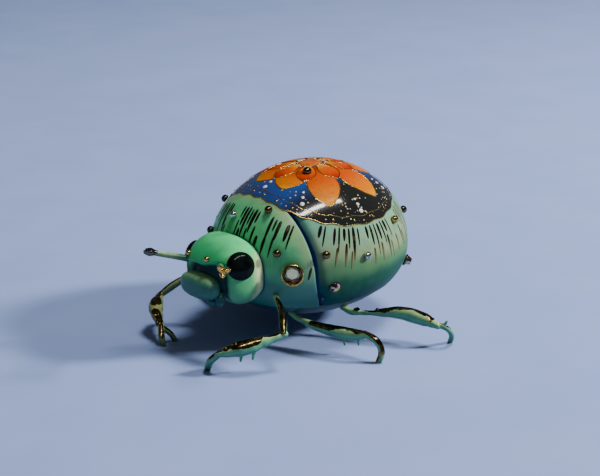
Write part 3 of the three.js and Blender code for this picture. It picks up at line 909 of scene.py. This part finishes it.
FRONT_RIGHT_LEG = {
    "tubes": [
        (
            [(-11.6, -21.6, 13.4), (-17, -25.8, 11), (-20.2, -30.8, 7.2)],
            (2, 1.7, 1.7, 1.9, 1.5), (0, 0.3, 0.5),
        ),
        (
            [(-20.3, -30.4, 7.3), (-16.4, -34.6, 6), (-10.7, -37.3, 3.2)],
            (1.5, 2.4, 3.3, 3.5, 2.8, 2, 1.4), (0.3, 0.2, 0.5, 0.1, 0.5, 0.3),
        ),
        (
            [(-11.1, -37.2, 3.5), (-9.5, -38.3, 1.7), (-8.4, -38.5, -0.4)],
            (1.5, 1.6, 1.5, 1.4), (0.4, 0.6, 0),
        ),
        (
            [(-11.1, -36.9, 3.4), (-9.7, -35.4, 1.7), (-8.9, -34.6, -0.4)],
            (1.3, 1.4, 1.3, 1.2), (0.4, 0.6, 0),
        ),
    ],
    "spines": [((-17, -33.2, 5.6), (-17.2, -32.8, 3.9)), ((-14.4, -35, 4.4), (-14.5, -34.6, 2.8))],
    "knobs": [((-14, -36.7, 5.5), 0.5), ((-12, -37.6, 4.4), 0.5)],
}
MIDDLE_LEG = {
    "tubes": [
        ([(9.8, -15.2, 7.2), (11.6, -14.7, 6.3), (14.6, -13.8, 5.7)], (1.3, 1.3, 1.3), (0, 0)),
        (
            [(14, -14, 5.65), (20, -12.2, 5.15), (25, -10.5, 5.2), (28.6, -9.2, 5.75)],
            (1.7, 2.3, 2.8, 3.05, 2.9, 2.4, 1.6), (0.75, 0.8, 0.7, 0.25, 0.2, 0.6, 0.6),
        ),
        (
            [(28.2, -9.4, 5.95), (31.2, -8.6, 4.9), (32.5, -8.3, 2.5), (32, -9, -0.4)],
            (1.6, 1.7, 1.7, 1.6, 1.6, 1.5, 1.4), (0.5, 0.7, 0.9, 1, 1, 0.9),
        ),
    ],
    "spines": [((23.4, -11, 4.4), (23.5, -11.1, 2.4)), ((26.8, -9.9, 4.9), (26.9, -10, 3.1))],
    "knobs": [],
}
HIND_LEG = {
    "tubes": [
        (
            [
                (14.6, -3, 6.9), (16.6, -1.7, 5.95), (20.6, 0.8, 6.1), (26.1, 4.2, 6.85), (31.6, 6.6, 6.15),
                (35.2, 7.4, 5.35),
            ],
            (1.6, 1.6, 1.7, 1.2, 1.2, 2.25, 3.05, 3.45, 3.2, 2.4, 1.6),
            (0, 0, 0, 0, 0.5, 0.7, 0.3, 0.15, 0.2, 0.5, 0.3),
        ),
        (
            [(34.7, 7.3, 5.7), (36.7, 9.1, 4.6), (36.3, 11.2, 2.2), (35, 12, -0.4)],
            (1.3, 1.3, 1.3, 1.3, 1.3, 1.2), (0, 0.5, 0.5, 0.2, 0),
        ),
    ],
    "spines": [((36, 8.5, 5.1), (36.8, 8.7, 6.5))],
    "knobs": [((17.55, -1.15, 6.4), 0.75), ((21.6, 1.45, 7), 0.5)],
}
# Each leg's form, side and green.
LEGS = {
    "front_left": (FRONT_LEFT_LEG, 1, "green"),
    "front_right": (FRONT_RIGHT_LEG, 1, "yellow_green"),
    "middle_left": (MIDDLE_LEG, 1, "green"),
    "middle_right": (MIDDLE_LEG, -1, "green"),
    "hind_left": (HIND_LEG, 1, "green"),
    "hind_right": (HIND_LEG, -1, "green"),
}
LEG_SKIN_GRAIN = 0.13


def mark_gold(bm, form, sign):
    """Marks how far each point lies inside the gold: above 0 on knobs and along the upper side."""
    stops = []
    for points, _, bands in form["tubes"]:
        curve = [Vector(point) for point in points]
        stops += [(along_curve(curve, share), width_at(bands, share)) for share in even_steps(0, 1, 40)]
    stops += [(Vector(centre) + Vector((0, 0, radius)), 2) for centre, radius in form["knobs"]]
    tree = KDTree(len(stops))
    for index, (point, _) in enumerate(stops):
        tree.insert(point * Vector((sign, 1, 1)), index)
    tree.balance()

    def depth(vert):
        band = stops[tree.find(vert.co)[1]][1]
        return vert.normal.z + band - 1

    mark(bm, "gold", depth)


def make_legs():
    greens = {
        "green": ((0.04, 0.19, 0.12), (0.12, 0.42, 0.22), (0.3, 0.52, 0.2)),
        "yellow_green": ((0.05, 0.17, 0.12), (0.15, 0.25, 0.09), (0.32, 0.36, 0.11)),
    }
    finishes = {green: leg_paint(f"leg_{green}", *colours) for green, colours in greens.items()}
    for name, (form, sign, green) in LEGS.items():
        bm = bmesh.new()
        for points, widths, _ in form["tubes"]:
            limb(bm, points, widths)
        for start, end in form["spines"]:
            limb(bm, [start, end], SPINE_WIDTHS, rings=8, around=14)
        for centre, radius in form["knobs"]:
            place = Matrix.Translation(centre)
            bmesh.ops.create_icosphere(bm, subdivisions=3, radius=radius, matrix=place)
        bmesh.ops.scale(bm, verts=bm.verts, vec=(sign, 1, 1))
        bmesh.ops.recalc_face_normals(bm, faces=bm.faces)
        bm = fused(bm, LEG_SKIN_GRAIN, 3)
        cut_level(bm, 0)
        bmesh.ops.recalc_face_normals(bm, faces=bm.faces)
        bm.normal_update()
        mark_gold(bm, form, sign)
        add_piece(f"leg_{name}_glazed", bm, finishes[green], [f"leg_{name}"], 60)


ANTENNA_WIDTHS = (1.6, 1.5, 1.4, 1.4, 1.3)
# Lobes of a club: length from the stalk's end, spread to the side and spread upwards.
CLUB_LOBES = [(1.9, 0.9, 0.9), (2.2, 0.3, -1.1), (1.6, -1.2, 0.2), (2.3, 0, 0)]
CLUB_LOBE_WIDTHS = (0.9, 1.4, 1.5, 1.1, 0.5)
ANTENNA_SKIN_GRAIN = 0.08
# Each antenna's path, how far its club spreads, and its club's metal.
ANTENNAE = {
    "left": ([(5, -32.2, 21.6), (9, -35.2, 22.7), (12.2, -37.3, 23.7)], 1.1, (0.95, 0.55, 0.13)),
    # The right club's near-black metal is a painted-shade copy of the left club's gold.
    "right": ([(-6, -32.2, 20.6), (-8.8, -35.4, 21.4), (-11.1, -38.4, 22.2)], 0.45, (0.16, 0.15, 0.12)),
}


def make_antennae():
    for side, (points, spread, club_metal) in ANTENNAE.items():
        bm = bmesh.new()
        limb(bm, points, ANTENNA_WIDTHS, rings=60, around=32)
        tip = Vector(points[-1])
        ahead = (tip - Vector(points[-2])).normalized()
        across = ahead.cross(Vector((0, 0, 1))).normalized()
        upward = across.cross(ahead)
        for length, aside, rising in CLUB_LOBES:
            swing = (across * aside + upward * rising) * spread
            end = tip + ahead * length + swing
            limb(bm, [tip - ahead * 0.3, tip + ahead * length * 0.5 + swing * 0.6, end], CLUB_LOBE_WIDTHS)
        bmesh.ops.recalc_face_normals(bm, faces=bm.faces)
        bm = fused(bm, ANTENNA_SKIN_GRAIN, 2)
        mark(bm, "from_tip", lambda vert: (vert.co - tip).dot(ahead))
        finish = antenna_paint(f"antenna_{side}", club_metal)
        add_piece(f"antenna_{side}_glazed", bm, finish, [f"antenna_{side}"], 60)


# Studs and crystals

# Each stud's place along the shell, its angle round it and its share of the usual width.
STUDS = {
    "front_middle": (-21.3, 102, 1),
    "front_left": (-18.2, 68, 1),
    "front_far": (-14.2, 140, 1),
    "collar_left": (-20.8, 27, 1),
    "collar_right": (-20.8, 153, 1),
    "shoulder_left": (-12.4, 16, 1),
    "shoulder_right": (-12.4, 164, 1),
    "flank_left": (-2.2, 9, 1),
    "flank_right": (-2.2, 171, 1),
    "back_left": (9.9, 26, 1),
    "back_right": (9.9, 154, 1),
    "rear_left": (19, 33, 1),
    "rear_right": (19, 147, 1),
    "dot_left": (-12.7, -24, 0.36),
    "dot_right": (-12.7, 204, 0.36),
    "top": (-5.1, 78, 1.1),
}


def bead(width):
    """A flat-backed bead, fullest a third of the way up."""
    top = STUD_HEIGHT_SHARE * width
    waist = STUD_WAIST_SHARE * width
    profile = [(0, 0), (STUD_FOOT_SHARE * width, 0)]
    lower = even_steps(-math.pi / 3, 0, 5)
    profile += [(0.5 * width * math.cos(a * 0.72), waist + waist * math.sin(a * 1.4)) for a in lower]
    upper = even_steps(0, math.pi / 2, 10)
    profile += [(0.5 * width * math.cos(a), waist + (top - waist) * math.sin(a)) for a in upper[1:-1]]
    profile.append((0, top))
    return spun(profile, "Z", 32)


# Studs that aren't polished gold.
STUD_METALS = {
    "front_middle": "silver",
    "flank_left": "silver",
    "back_left": "bright",
    "front_far": "dull",
    "collar_right": "dull",
    "rear_right": "dull",
    "flank_right": "dull",
}


def make_studs(gold, bright_gold):
    metals = {
        "dull": metal("dull_gold", (0.06, 0.07, 0.04), (0.02, 0.05, 0.035), 0.3),
        "silver": metal("silver", (0.75, 0.74, 0.66), (0.16, 0.16, 0.13), 0.14),
        "bright": bright_gold,
    }
    for name, (y, degrees, scale) in STUDS.items():
        finish = metals.get(STUD_METALS.get(name), gold)
        bm = bead(STUD_WIDTH * scale)
        bmesh.ops.transform(bm, matrix=shell_seat(y, degrees), verts=bm.verts)
        add_piece(f"stud_{name}_bead", bm, finish, [f"stud_{name}"], 60)
    for side, direction in BROW_BEAD_DIRECTIONS.items():
        bm = bead(BROW_BEAD_WIDTH)
        bmesh.ops.transform(bm, matrix=head_seat(direction, -BROW_BEAD_SINK), verts=bm.verts)
        add_piece(f"brow_bead_{side}", bm, bright_gold, [f"face_bead_{side}"], 60)


# Crystals: place along the shell, angle of the left one, setting width, stone height share.
CRYSTALS = {
    "large": (-19.1, 4, 5.3, 0.18),
    "small": (-10.6, -11.5, 2.7, 0.18),
    "tail": (17.3, -20, 3, 0.45),
}
# How far a stone sits above the middle of its setting, in shares of the setting's width.
STONE_RAISE = 0.045
# A stone's ring radii, in shares of the setting's width.
STONE_FOOT = 0.4
STONE_GIRDLE = 0.405
STONE_KITES = 0.355
STONE_TABLE = 0.27
KITE_LEVEL_SHARE = 0.55


def setting(width):
    """A low cup whose rounded lip folds over the stone's edge; the lip is broader below."""
    shares = [
        (0, 0), (0.44, 0), (0.475, 0.02), (0.495, 0.06), (0.5, 0.1), (0.49, 0.145), (0.465, 0.165),
        (0.44, 0.16), (0.422, 0.14), (0.418, 0.1), (0.41, 0.05), (0.2, 0.03), (0, 0.03),
    ]
    bm = spun([(out * width, along * width) for out, along in shares], "Z", 64)
    for vert in bm.verts:
        if vert.co.z > 0.02 * width:
            vert.co.x += STONE_RAISE * width * smooth_share(vert.co.xy.length / width, 0.47, 0.42)
    return bm


def ring_of(bm, count, radius, level, turn=0.0):
    made = bmesh.ops.create_circle(bm, segments=count, radius=radius, matrix=Matrix.Rotation(turn, 4, "Z"))
    bmesh.ops.translate(bm, verts=made["verts"], vec=(0, 0, level))


def stone(width, height_share):
    """A brilliant-cut top on a flat-backed stone: girdle, kites and table."""
    bm = bmesh.new()
    base = 0.08 * width + TRIM_LIFT
    height = height_share * width
    girdle = 0.06 * width
    eighth = math.pi / 8
    ring_of(bm, 16, STONE_FOOT * width, base)
    ring_of(bm, 16, STONE_GIRDLE * width, base + girdle)
    ring_of(bm, 8, STONE_KITES * width, base + girdle + (height - girdle) * KITE_LEVEL_SHARE, eighth)
    ring_of(bm, 8, STONE_TABLE * width, base + height)
    bmesh.ops.convex_hull(bm, input=bm.verts)
    bmesh.ops.dissolve_limit(bm, angle_limit=0.01, verts=bm.verts, edges=bm.edges)
    bmesh.ops.translate(bm, verts=bm.verts, vec=(STONE_RAISE * width, 0, 0))
    mark(bm, "rise", lambda vert: vert.co.x / width - STONE_RAISE)
    mark(bm, "side", lambda vert: vert.co.y / width)
    mark(bm, "crown", lambda vert: 0.02 * width < vert.co.z - base < 0.95 * height)
    return bm


def foil(width):
    """The facetted backing under a stone: a bright floor and a darker slope round it."""
    profile = [(0, 0.035), (0.26, 0.035), (0.4, 0.075), (0.4, 0.032), (0, 0.032)]
    bm = spun([(out * width, along * width) for out, along in profile], "Z", 16)
    mark(bm, "out", lambda vert: vert.co.xy.length / width)
    mark(bm, "rise", lambda vert: vert.co.x / width)
    bmesh.ops.translate(bm, verts=bm.verts, vec=(STONE_RAISE * width, 0, 0))
    return bm


def foil_backing(name, floor, slope, low):
    made = Finish(name)
    out = made.wander(made.attribute("out"), 0.4, 0.03)
    # Painted reflections: the darker slope gives the dark ring seen through the crown, and the lower side
    # turns gold as a painted glint.
    colour = made.blend(made.step(out, 0.22, 0.26), floor, slope)
    colour = made.blend(made.step(made.attribute("rise"), -0.2, -0.32), colour, low)
    made.set(Base_Color=colour, Metallic=1.0, Roughness=made.span(made.noise(0.5), 0, 1, 0.1, 0.3))
    return made.material


def make_crystals(gold, bright_gold):
    clear = cut_crystal()
    rainbow = rainbow_crystal()
    silver = foil_backing("silver_backing", (0.95, 0.9, 0.62), (0.05, 0.045, 0.025), (0.7, 0.45, 0.1))
    smoky = foil_backing("smoky_backing", (0.5, 0.48, 0.45), (0.3, 0.28, 0.2), (0.6, 0.55, 0.2))
    for name, (y, degrees, width, height_share) in CRYSTALS.items():
        for side, angle in (("left", degrees), ("right", 180 - degrees)):
            seat = shell_seat(y, angle)
            if side == "right":
                seat = seat @ Matrix.Rotation(math.pi, 4, "Z")
            node = f"crystal_{name}_{side}"
            shapes = {"cup": setting(width), "foil": foil(width), "cut": stone(width, height_share)}
            for bm in shapes.values():
                bmesh.ops.transform(bm, matrix=seat, verts=bm.verts)
            large = name == "large"
            cup_gold = bright_gold if large else gold
            finish, backing = (clear, silver) if large else (rainbow, smoky)
            add_piece(f"{node}_cup", shapes["cup"], cup_gold, [f"{node}_setting"], 60)
            add_piece(f"{node}_foil", shapes["foil"], backing, flat=True)
            add_piece(f"{node}_cut", shapes["cut"], finish, [f"{node}_stone"], flat=True)


# The painted back: every shape is drawn flat in degrees, then laid on the shell.

PATCH_RINGS = 56
PATCH_SIDES = 288
PATCH_REACH = 56
PATCH_SIDE_REACH = 6
PATCH_FRONT_CUT = 7
SCALLOPS = 24
SCALLOP_DEPTH = 0.5


def patch_edge(bearing):
    """How far from the top the picture area reaches at a bearing, in degrees."""
    front = ((1 - math.sin(bearing)) / 2) ** 4
    scallop = SCALLOP_DEPTH * math.cos(bearing * SCALLOPS)
    return PATCH_REACH + PATCH_SIDE_REACH * math.cos(2 * bearing) - PATCH_FRONT_CUT * front + scallop


def thicken(bm, depth):
    """Gives drawn sheets a closed underside at a fixed depth below."""
    bmesh.ops.remove_doubles(bm, verts=bm.verts, dist=1e-4)
    made = bmesh.ops.extrude_face_region(bm, geom=bm.faces[:])
    lowered = [part for part in made["geom"] if isinstance(part, bmesh.types.BMVert)]
    bmesh.ops.translate(bm, verts=lowered, vec=(0, 0, -depth))


def make_back_ground():
    bm = spun([(share, 0) for share in even_steps(0, 1, PATCH_RINGS)], "Z", PATCH_SIDES)
    for vert in bm.verts:
        bearing = math.atan2(vert.co.y, vert.co.x)
        reach = patch_edge(bearing)
        out = math.hypot(vert.co.x, vert.co.y)
        vert.co.x *= reach
        vert.co.y *= reach
        vert.co.z = PATCH_LIFT - 0.1 * smooth_share(out, 0.985, 1)
    thicken(bm, PATCH_DEPTH)
    lay_on_back(bm)
    add_piece("back_ground_enamel", bm, ground_enamel(), crease=60)


def petal(bm, bearing, start, length, width, lift, crown=0.12):
    """One raised petal: narrow foot, full shoulder, rounded point."""
    layer = bm.verts.layers.float.get("along") or bm.verts.layers.float.new("along")
    made = bmesh.ops.create_grid(bm, x_segments=22, y_segments=10, size=1)["verts"]
    turn = Matrix.Rotation(bearing, 3, "Z")
    for vert in made:
        along = (vert.co.x + 1) / 2
        across = vert.co.y
        half = petal_half_width(along, width)
        vert[layer] = along
        rise = crown * (1 - across * across) * math.sin(math.pi * along)
        vert.co = turn @ Vector((start + length * along, across * half, lift + rise))


def petal_half_width(along, width):
    return width / 2 * math.sin(math.pi * min(1.0, along) ** 1.25) ** 0.72


def raised_line(bm, path, count, half_width, height):
    """A half-round line along a flat path; half_width is a function of the share along it."""
    made = bmesh.ops.create_grid(bm, x_segments=count, y_segments=6, size=1)["verts"]
    for vert in made:
        share = (vert.co.x + 1) / 2
        across = vert.co.y
        here = path(share)
        ahead = path(share + 1e-3) - path(share - 1e-3)
        side = Vector((-ahead.y, ahead.x)).normalized()
        spot = here + side * across * half_width(share)
        rise = height * math.sqrt(max(0.0, 1 - across * across)) - 0.05
        vert.co = (spot.x, spot.y, PATCH_LIFT + rise)


def even_line(bm, path, count, half_width, height):
    raised_line(bm, path, count, lambda share: half_width, height)


def petal_outline(bearing, start, length, width):
    """The path round a petal, from its foot by one side to the tip and back by the other."""
    turn = Matrix.Rotation(bearing, 2)

    def path(share):
        along = 0.01 + 0.99 * (1 - abs(1 - 2 * min(1.0, max(0.0, share))))
        sign = 1 if share < 0.5 else -1
        return turn @ Vector((start + length * along, sign * petal_half_width(along, width)))

    return path


RED = (0.28, 0.012, 0.001)
ORANGE = (0.44, 0.055, 0.0)
AMBER = (0.52, 0.13, 0.0)
YELLOW = (0.58, 0.25, 0.0)

OUTER_PETALS = 8
INNER_PETALS = 8
HEART_REACH = 7.5
ROSETTE_INSET = 12
OUTER_PETAL_WIDTH = 19
INNER_PETAL_LENGTH = 19
INNER_PETAL_WIDTH = 11
# The half width and height of each petal's raised line.
OUTER_PETAL_LINE = (0.42, 0.13)
INNER_PETAL_LINE = (0.38, 0.24)


def rosette_reach(bearing):
    """The rosette follows the picture area, longer to the sides than to the front."""
    return patch_edge(bearing) - ROSETTE_INSET


def make_rosette(line_gold):
    outer = bmesh.new()
    inner = bmesh.new()
    lines = bmesh.new()
    for index in range(OUTER_PETALS):
        bearing = 2 * math.pi * (index + 0.5) / OUTER_PETALS
        length = rosette_reach(bearing) - HEART_REACH
        petal(outer, bearing, HEART_REACH, length, OUTER_PETAL_WIDTH, PATCH_LIFT)
        path = petal_outline(bearing, HEART_REACH, length, OUTER_PETAL_WIDTH)
        even_line(lines, path, 90, *OUTER_PETAL_LINE)
    for index in range(INNER_PETALS):
        bearing = 2 * math.pi * index / INNER_PETALS
        foot = HEART_REACH - 1
        petal(inner, bearing, foot, INNER_PETAL_LENGTH, INNER_PETAL_WIDTH, PATCH_LIFT + 0.08)
        path = petal_outline(bearing, foot, INNER_PETAL_LENGTH, INNER_PETAL_WIDTH)
        even_line(lines, path, 70, *INNER_PETAL_LINE)
    for bm in (outer, inner, lines):
        thicken(bm, PETAL_DEPTH)
        lay_on_back(bm)
    outer_stops = [(0, RED), (0.4, ORANGE), (0.78, AMBER), (1, YELLOW)]
    inner_stops = [(0, YELLOW), (0.5, ORANGE), (1, RED)]
    add_piece("petals_outer_enamel", outer, petal_enamel("petal_orange", outer_stops))
    add_piece("petals_inner_enamel", inner, petal_enamel("petal_red", inner_stops))
    add_piece("petal_lines_gold", lines, line_gold)


def flat_dot(bm, spot, radius, height):
    """A low dome; its radius is in degrees and its height in millimetres."""
    rings = even_steps(0, math.pi / 2, 4)
    profile = [(radius * math.sin(a), PATCH_LIFT - 0.04 + height * math.cos(a)) for a in rings]
    dome = spun(profile + [(0, PATCH_LIFT - 0.15)], "Z", 14)
    bmesh.ops.translate(dome, verts=dome.verts, vec=(spot.x, spot.y, 0))
    join(bm, dome)


def polar(bearing, away):
    return Vector((away * math.cos(bearing), away * math.sin(bearing)))


HEART_SHARE = 0.95
HEART_HEIGHT = 0.35
HEART_DOT_GAP = 1.2
HEART_DOT_RADIUS = 0.75
HEART_DOT_HEIGHT = 0.22
# The dots between two petals: distance beyond the rosette's reach, and radius.
TRAIL_DOTS = [(-6, 0.8), (-2.2, 1.1), (2.6, 1.5)]
BORDER_DOT_INSET = 3.2
BORDER_DOT_RADIUS = 0.9
DOT_HEIGHT = 0.16


def make_dots(line_gold, white):
    pale = bmesh.new()
    gold = bmesh.new()
    heart = bmesh.new()
    flat_dot(heart, Vector((0, 0)), HEART_REACH * HEART_SHARE, HEART_HEIGHT)
    for index in range(OUTER_PETALS * 2):
        bearing = 2 * math.pi * (index + 0.5) / (OUTER_PETALS * 2)
        flat_dot(pale, polar(bearing, HEART_REACH + HEART_DOT_GAP), HEART_DOT_RADIUS, HEART_DOT_HEIGHT)
    for index in range(OUTER_PETALS):
        bearing = 2 * math.pi * index / OUTER_PETALS
        reach = rosette_reach(bearing)
        for beyond, radius in TRAIL_DOTS:
            flat_dot(pale, polar(bearing, reach + beyond), radius, DOT_HEIGHT)
    for index in range(SCALLOPS):
        bearing = 2 * math.pi * (index + 0.5) / SCALLOPS
        spot = polar(bearing, patch_edge(bearing) - BORDER_DOT_INSET)
        flat_dot(gold, spot, BORDER_DOT_RADIUS, DOT_HEIGHT)
    for bm in (heart, pale, gold):
        lay_on_back(bm)
    amber = dot_enamel("amber_enamel", AMBER, ORANGE)
    add_piece("heart_amber_enamel", heart, amber, crease=70)
    add_piece("dots_white_enamel", pale, white, crease=70)
    add_piece("dots_gold", gold, line_gold, crease=70)


# Each border line's distance inside the edge, half width and height.
BORDER_LINES = [(0.5, 0.5, 0.14), (6.2, 0.3, 0.1)]


def make_border(line_gold):
    """Two lines that follow the scallops, one along the edge and one inside it."""
    bm = bmesh.new()

    def around(inset):
        return lambda share: polar(2 * math.pi * share, patch_edge(2 * math.pi * share) - inset)

    for inset, half_width, height in BORDER_LINES:
        even_line(bm, around(inset), PATCH_SIDES, half_width, height)
    thicken(bm, BORDER_DEPTH)
    lay_on_back(bm)
    add_piece("border_lines_gold", bm, line_gold)


GROOVE_CLEARANCE_AHEAD = 0.7
GROOVE_CLEARANCE_BEHIND = 2.2
TRIM_CLEARANCE = 0.9


def clear_of_trim(spot):
    """True where a brush stroke meets neither the groove nor a stud or crystal."""
    point = bare_back_point(spot.x, spot.y)
    from_groove = point.y - GROOVE_Y - GROOVE_LEAN * (WIDEST_LEVEL - point.z)
    if -GROOVE_CLEARANCE_AHEAD < from_groove < GROOVE_CLEARANCE_BEHIND:
        return False
    seats = [(y, degrees, STUD_WIDTH) for y, degrees, _ in STUDS.values()]
    for y, degrees, width, _ in CRYSTALS.values():
        seats += [(y, degrees, width), (y, 180 - degrees, width)]
    return all(
        (point - shell_point(y, math.radians(degrees))).length > width / 2 + TRIM_CLEARANCE
        for y, degrees, width in seats
    )


FRINGE_STROKES = 120
# Strokes at each place of the fringe, taken in turn: (start below the edge, length) in degrees.
FRINGE_ROWS = [
    [(0.8, 13), (15.5, 11)], [(0.8, 21)], [(2, 11), (14.5, 12)], [(0.8, 16)], [(1, 8), (10.5, 15)],
]
FRINGE_WEIGHTS = (1, 0.75, 1.15, 0.85, 1.25, 0.7, 1.05)
FRINGE_FAN = 0.35
FRONT_FRINGE_DROP = 6
FRONT_FRINGE_WEIGHT = 1.15
# The single stroke between the large crystal and the groove, as drawn on the left side.
LOOSE_STROKE = (Vector((65.5, -51.5)), Vector((70, -59)), 1.1)


def brush_stroke(bm, start, direction, length, weight):
    """One straight stroke, blunt where it starts and a little narrower at its end."""

    def path(share):
        return start + polar(direction, length * share)

    def half_width(share):
        return weight * (0.25 + math.sin(math.pi * share ** 0.75) ** 0.45)

    raised_line(bm, path, 16, half_width, 0.1)


def make_fringe(lustre):
    """Brush strokes of lustre that hang from the picture area's edge and fan out."""
    bm = bmesh.new()
    for index in range(FRINGE_STROKES):
        bearing = 2 * math.pi * (index + 0.5) / FRINGE_STROKES
        direction = bearing + FRINGE_FAN * math.sin(2 * bearing)
        edge = patch_edge(bearing)
        front = bare_back_point(*polar(bearing, edge + FRONT_FRINGE_DROP)).y < GROOVE_Y
        weight = FRINGE_WEIGHTS[index % len(FRINGE_WEIGHTS)] * (FRONT_FRINGE_WEIGHT if front else 1)
        for below, length in FRINGE_ROWS[index % len(FRINGE_ROWS)]:
            drop = below + (FRONT_FRINGE_DROP if front else 0)
            start = polar(bearing, edge + drop)
            if all(clear_of_trim(start + polar(direction, length * part / 4)) for part in range(5)):
                brush_stroke(bm, start, direction, length, weight)
    loose_start, loose_end, loose_weight = LOOSE_STROKE
    for side in (1, -1):
        start = loose_start * Vector((side, 1))
        run = loose_end * Vector((side, 1)) - start
        brush_stroke(bm, start, math.atan2(run.y, run.x), run.length, loose_weight)
    bmesh.ops.translate(bm, verts=bm.verts, vec=(0, 0, -PATCH_LIFT))
    thicken(bm, STROKE_DEPTH)
    mark(bm, "drop", lambda vert: vert.co.xy.length - patch_edge(math.atan2(vert.co.y, vert.co.x)))
    lay_on_back(bm)
    add_piece("fringe_lustre", bm, lustre)


def make_painted_back():
    line_gold = metal("line_gold", (0.72, 0.47, 0.12), (0.35, 0.2, 0.05), 0.2)
    lustre = brush_lustre()
    white = dot_enamel("white_enamel", (0.82, 0.8, 0.72), (0.6, 0.58, 0.5))
    make_back_ground()
    make_rosette(line_gold)
    make_dots(line_gold, white)
    make_border(line_gold)
    make_fringe(lustre)


# Studio

CAMERA_PLACE = Vector((226.305, -204.474, 122.881)) * MM
CAMERA_TARGET = Vector((0, 4.775, 20.521)) * MM
CAMERA_LENS = 81.19
WARM_WHITE = (1, 0.98, 0.95)


def make_camera():
    camera = new_object("camera", bpy.data.cameras.new("camera"))
    camera.data.lens = CAMERA_LENS
    camera.data.clip_start = 0.01
    camera.location = CAMERA_PLACE
    camera.rotation_euler = (CAMERA_TARGET - CAMERA_PLACE).to_track_quat("-Z", "Y").to_euler()
    bpy.context.scene.camera = camera


def soft_light(name, place, target, size, power, colour):
    data = bpy.data.lights.new(name, "AREA")
    data.shape = "RECTANGLE"
    data.size, data.size_y = size
    data.energy = power
    data.color = colour
    light = new_object(name, data)
    light.location = place
    light.rotation_euler = (Vector(target) - Vector(place)).to_track_quat("-Z", "Y").to_euler()
    return light


def make_studio():
    bm = bmesh.new()
    bmesh.ops.create_grid(bm, x_segments=8, y_segments=8, size=4)
    mesh = bpy.data.meshes.new("floor")
    bm.to_mesh(mesh)
    bm.free()
    floor = new_object("floor", mesh)
    paper = Finish("floor_paper")
    pale_blue = paper.ramp(paper.noise(30, 3), [(0.3, (0.24, 0.33, 0.64)), (0.7, (0.26, 0.35, 0.66))])
    paper.set(Base_Color=pale_blue, Roughness=0.8)
    mesh.materials.append(paper.material)
    world = bpy.data.worlds.new("studio")
    bpy.context.scene.world = world
    world.use_nodes = True
    sky = world.node_tree.nodes["Background"]
    sky.inputs["Color"].default_value = (0.82, 0.86, 0.9, 1)
    sky.inputs["Strength"].default_value = 0.1
    middle = (0, 0, 0.02)
    strip = soft_light("strip", (0.34, 0, 0.98), middle, (1.2, 0.07), 8, WARM_WHITE)
    strip.visible_diffuse = False
    top = soft_light("top", (0.06, 0.32, 0.94), middle, (0.26, 0.26), 8.5, WARM_WHITE)
    top.visible_glossy = False
    key = soft_light("key", (0.53, 0.61, 0.48), middle, (0.11, 0.11), 14, (1, 0.97, 0.92))
    key.visible_glossy = False


make_camera()
make_studio()
polished_gold = metal("polished_gold", (0.2, 0.135, 0.06), (0.06, 0.04, 0.018), 0.12)
bright_gold = metal("bright_gold", (0.7, 0.46, 0.13), (0.14, 0.09, 0.03), 0.16)
make_pronotum()
make_wing_case()
make_belly()
make_head()
make_muzzle()
make_eyes()
make_legs()
make_antennae()
make_studs(polished_gold, bright_gold)
make_crystals(polished_gold, bright_gold)
make_painted_back()
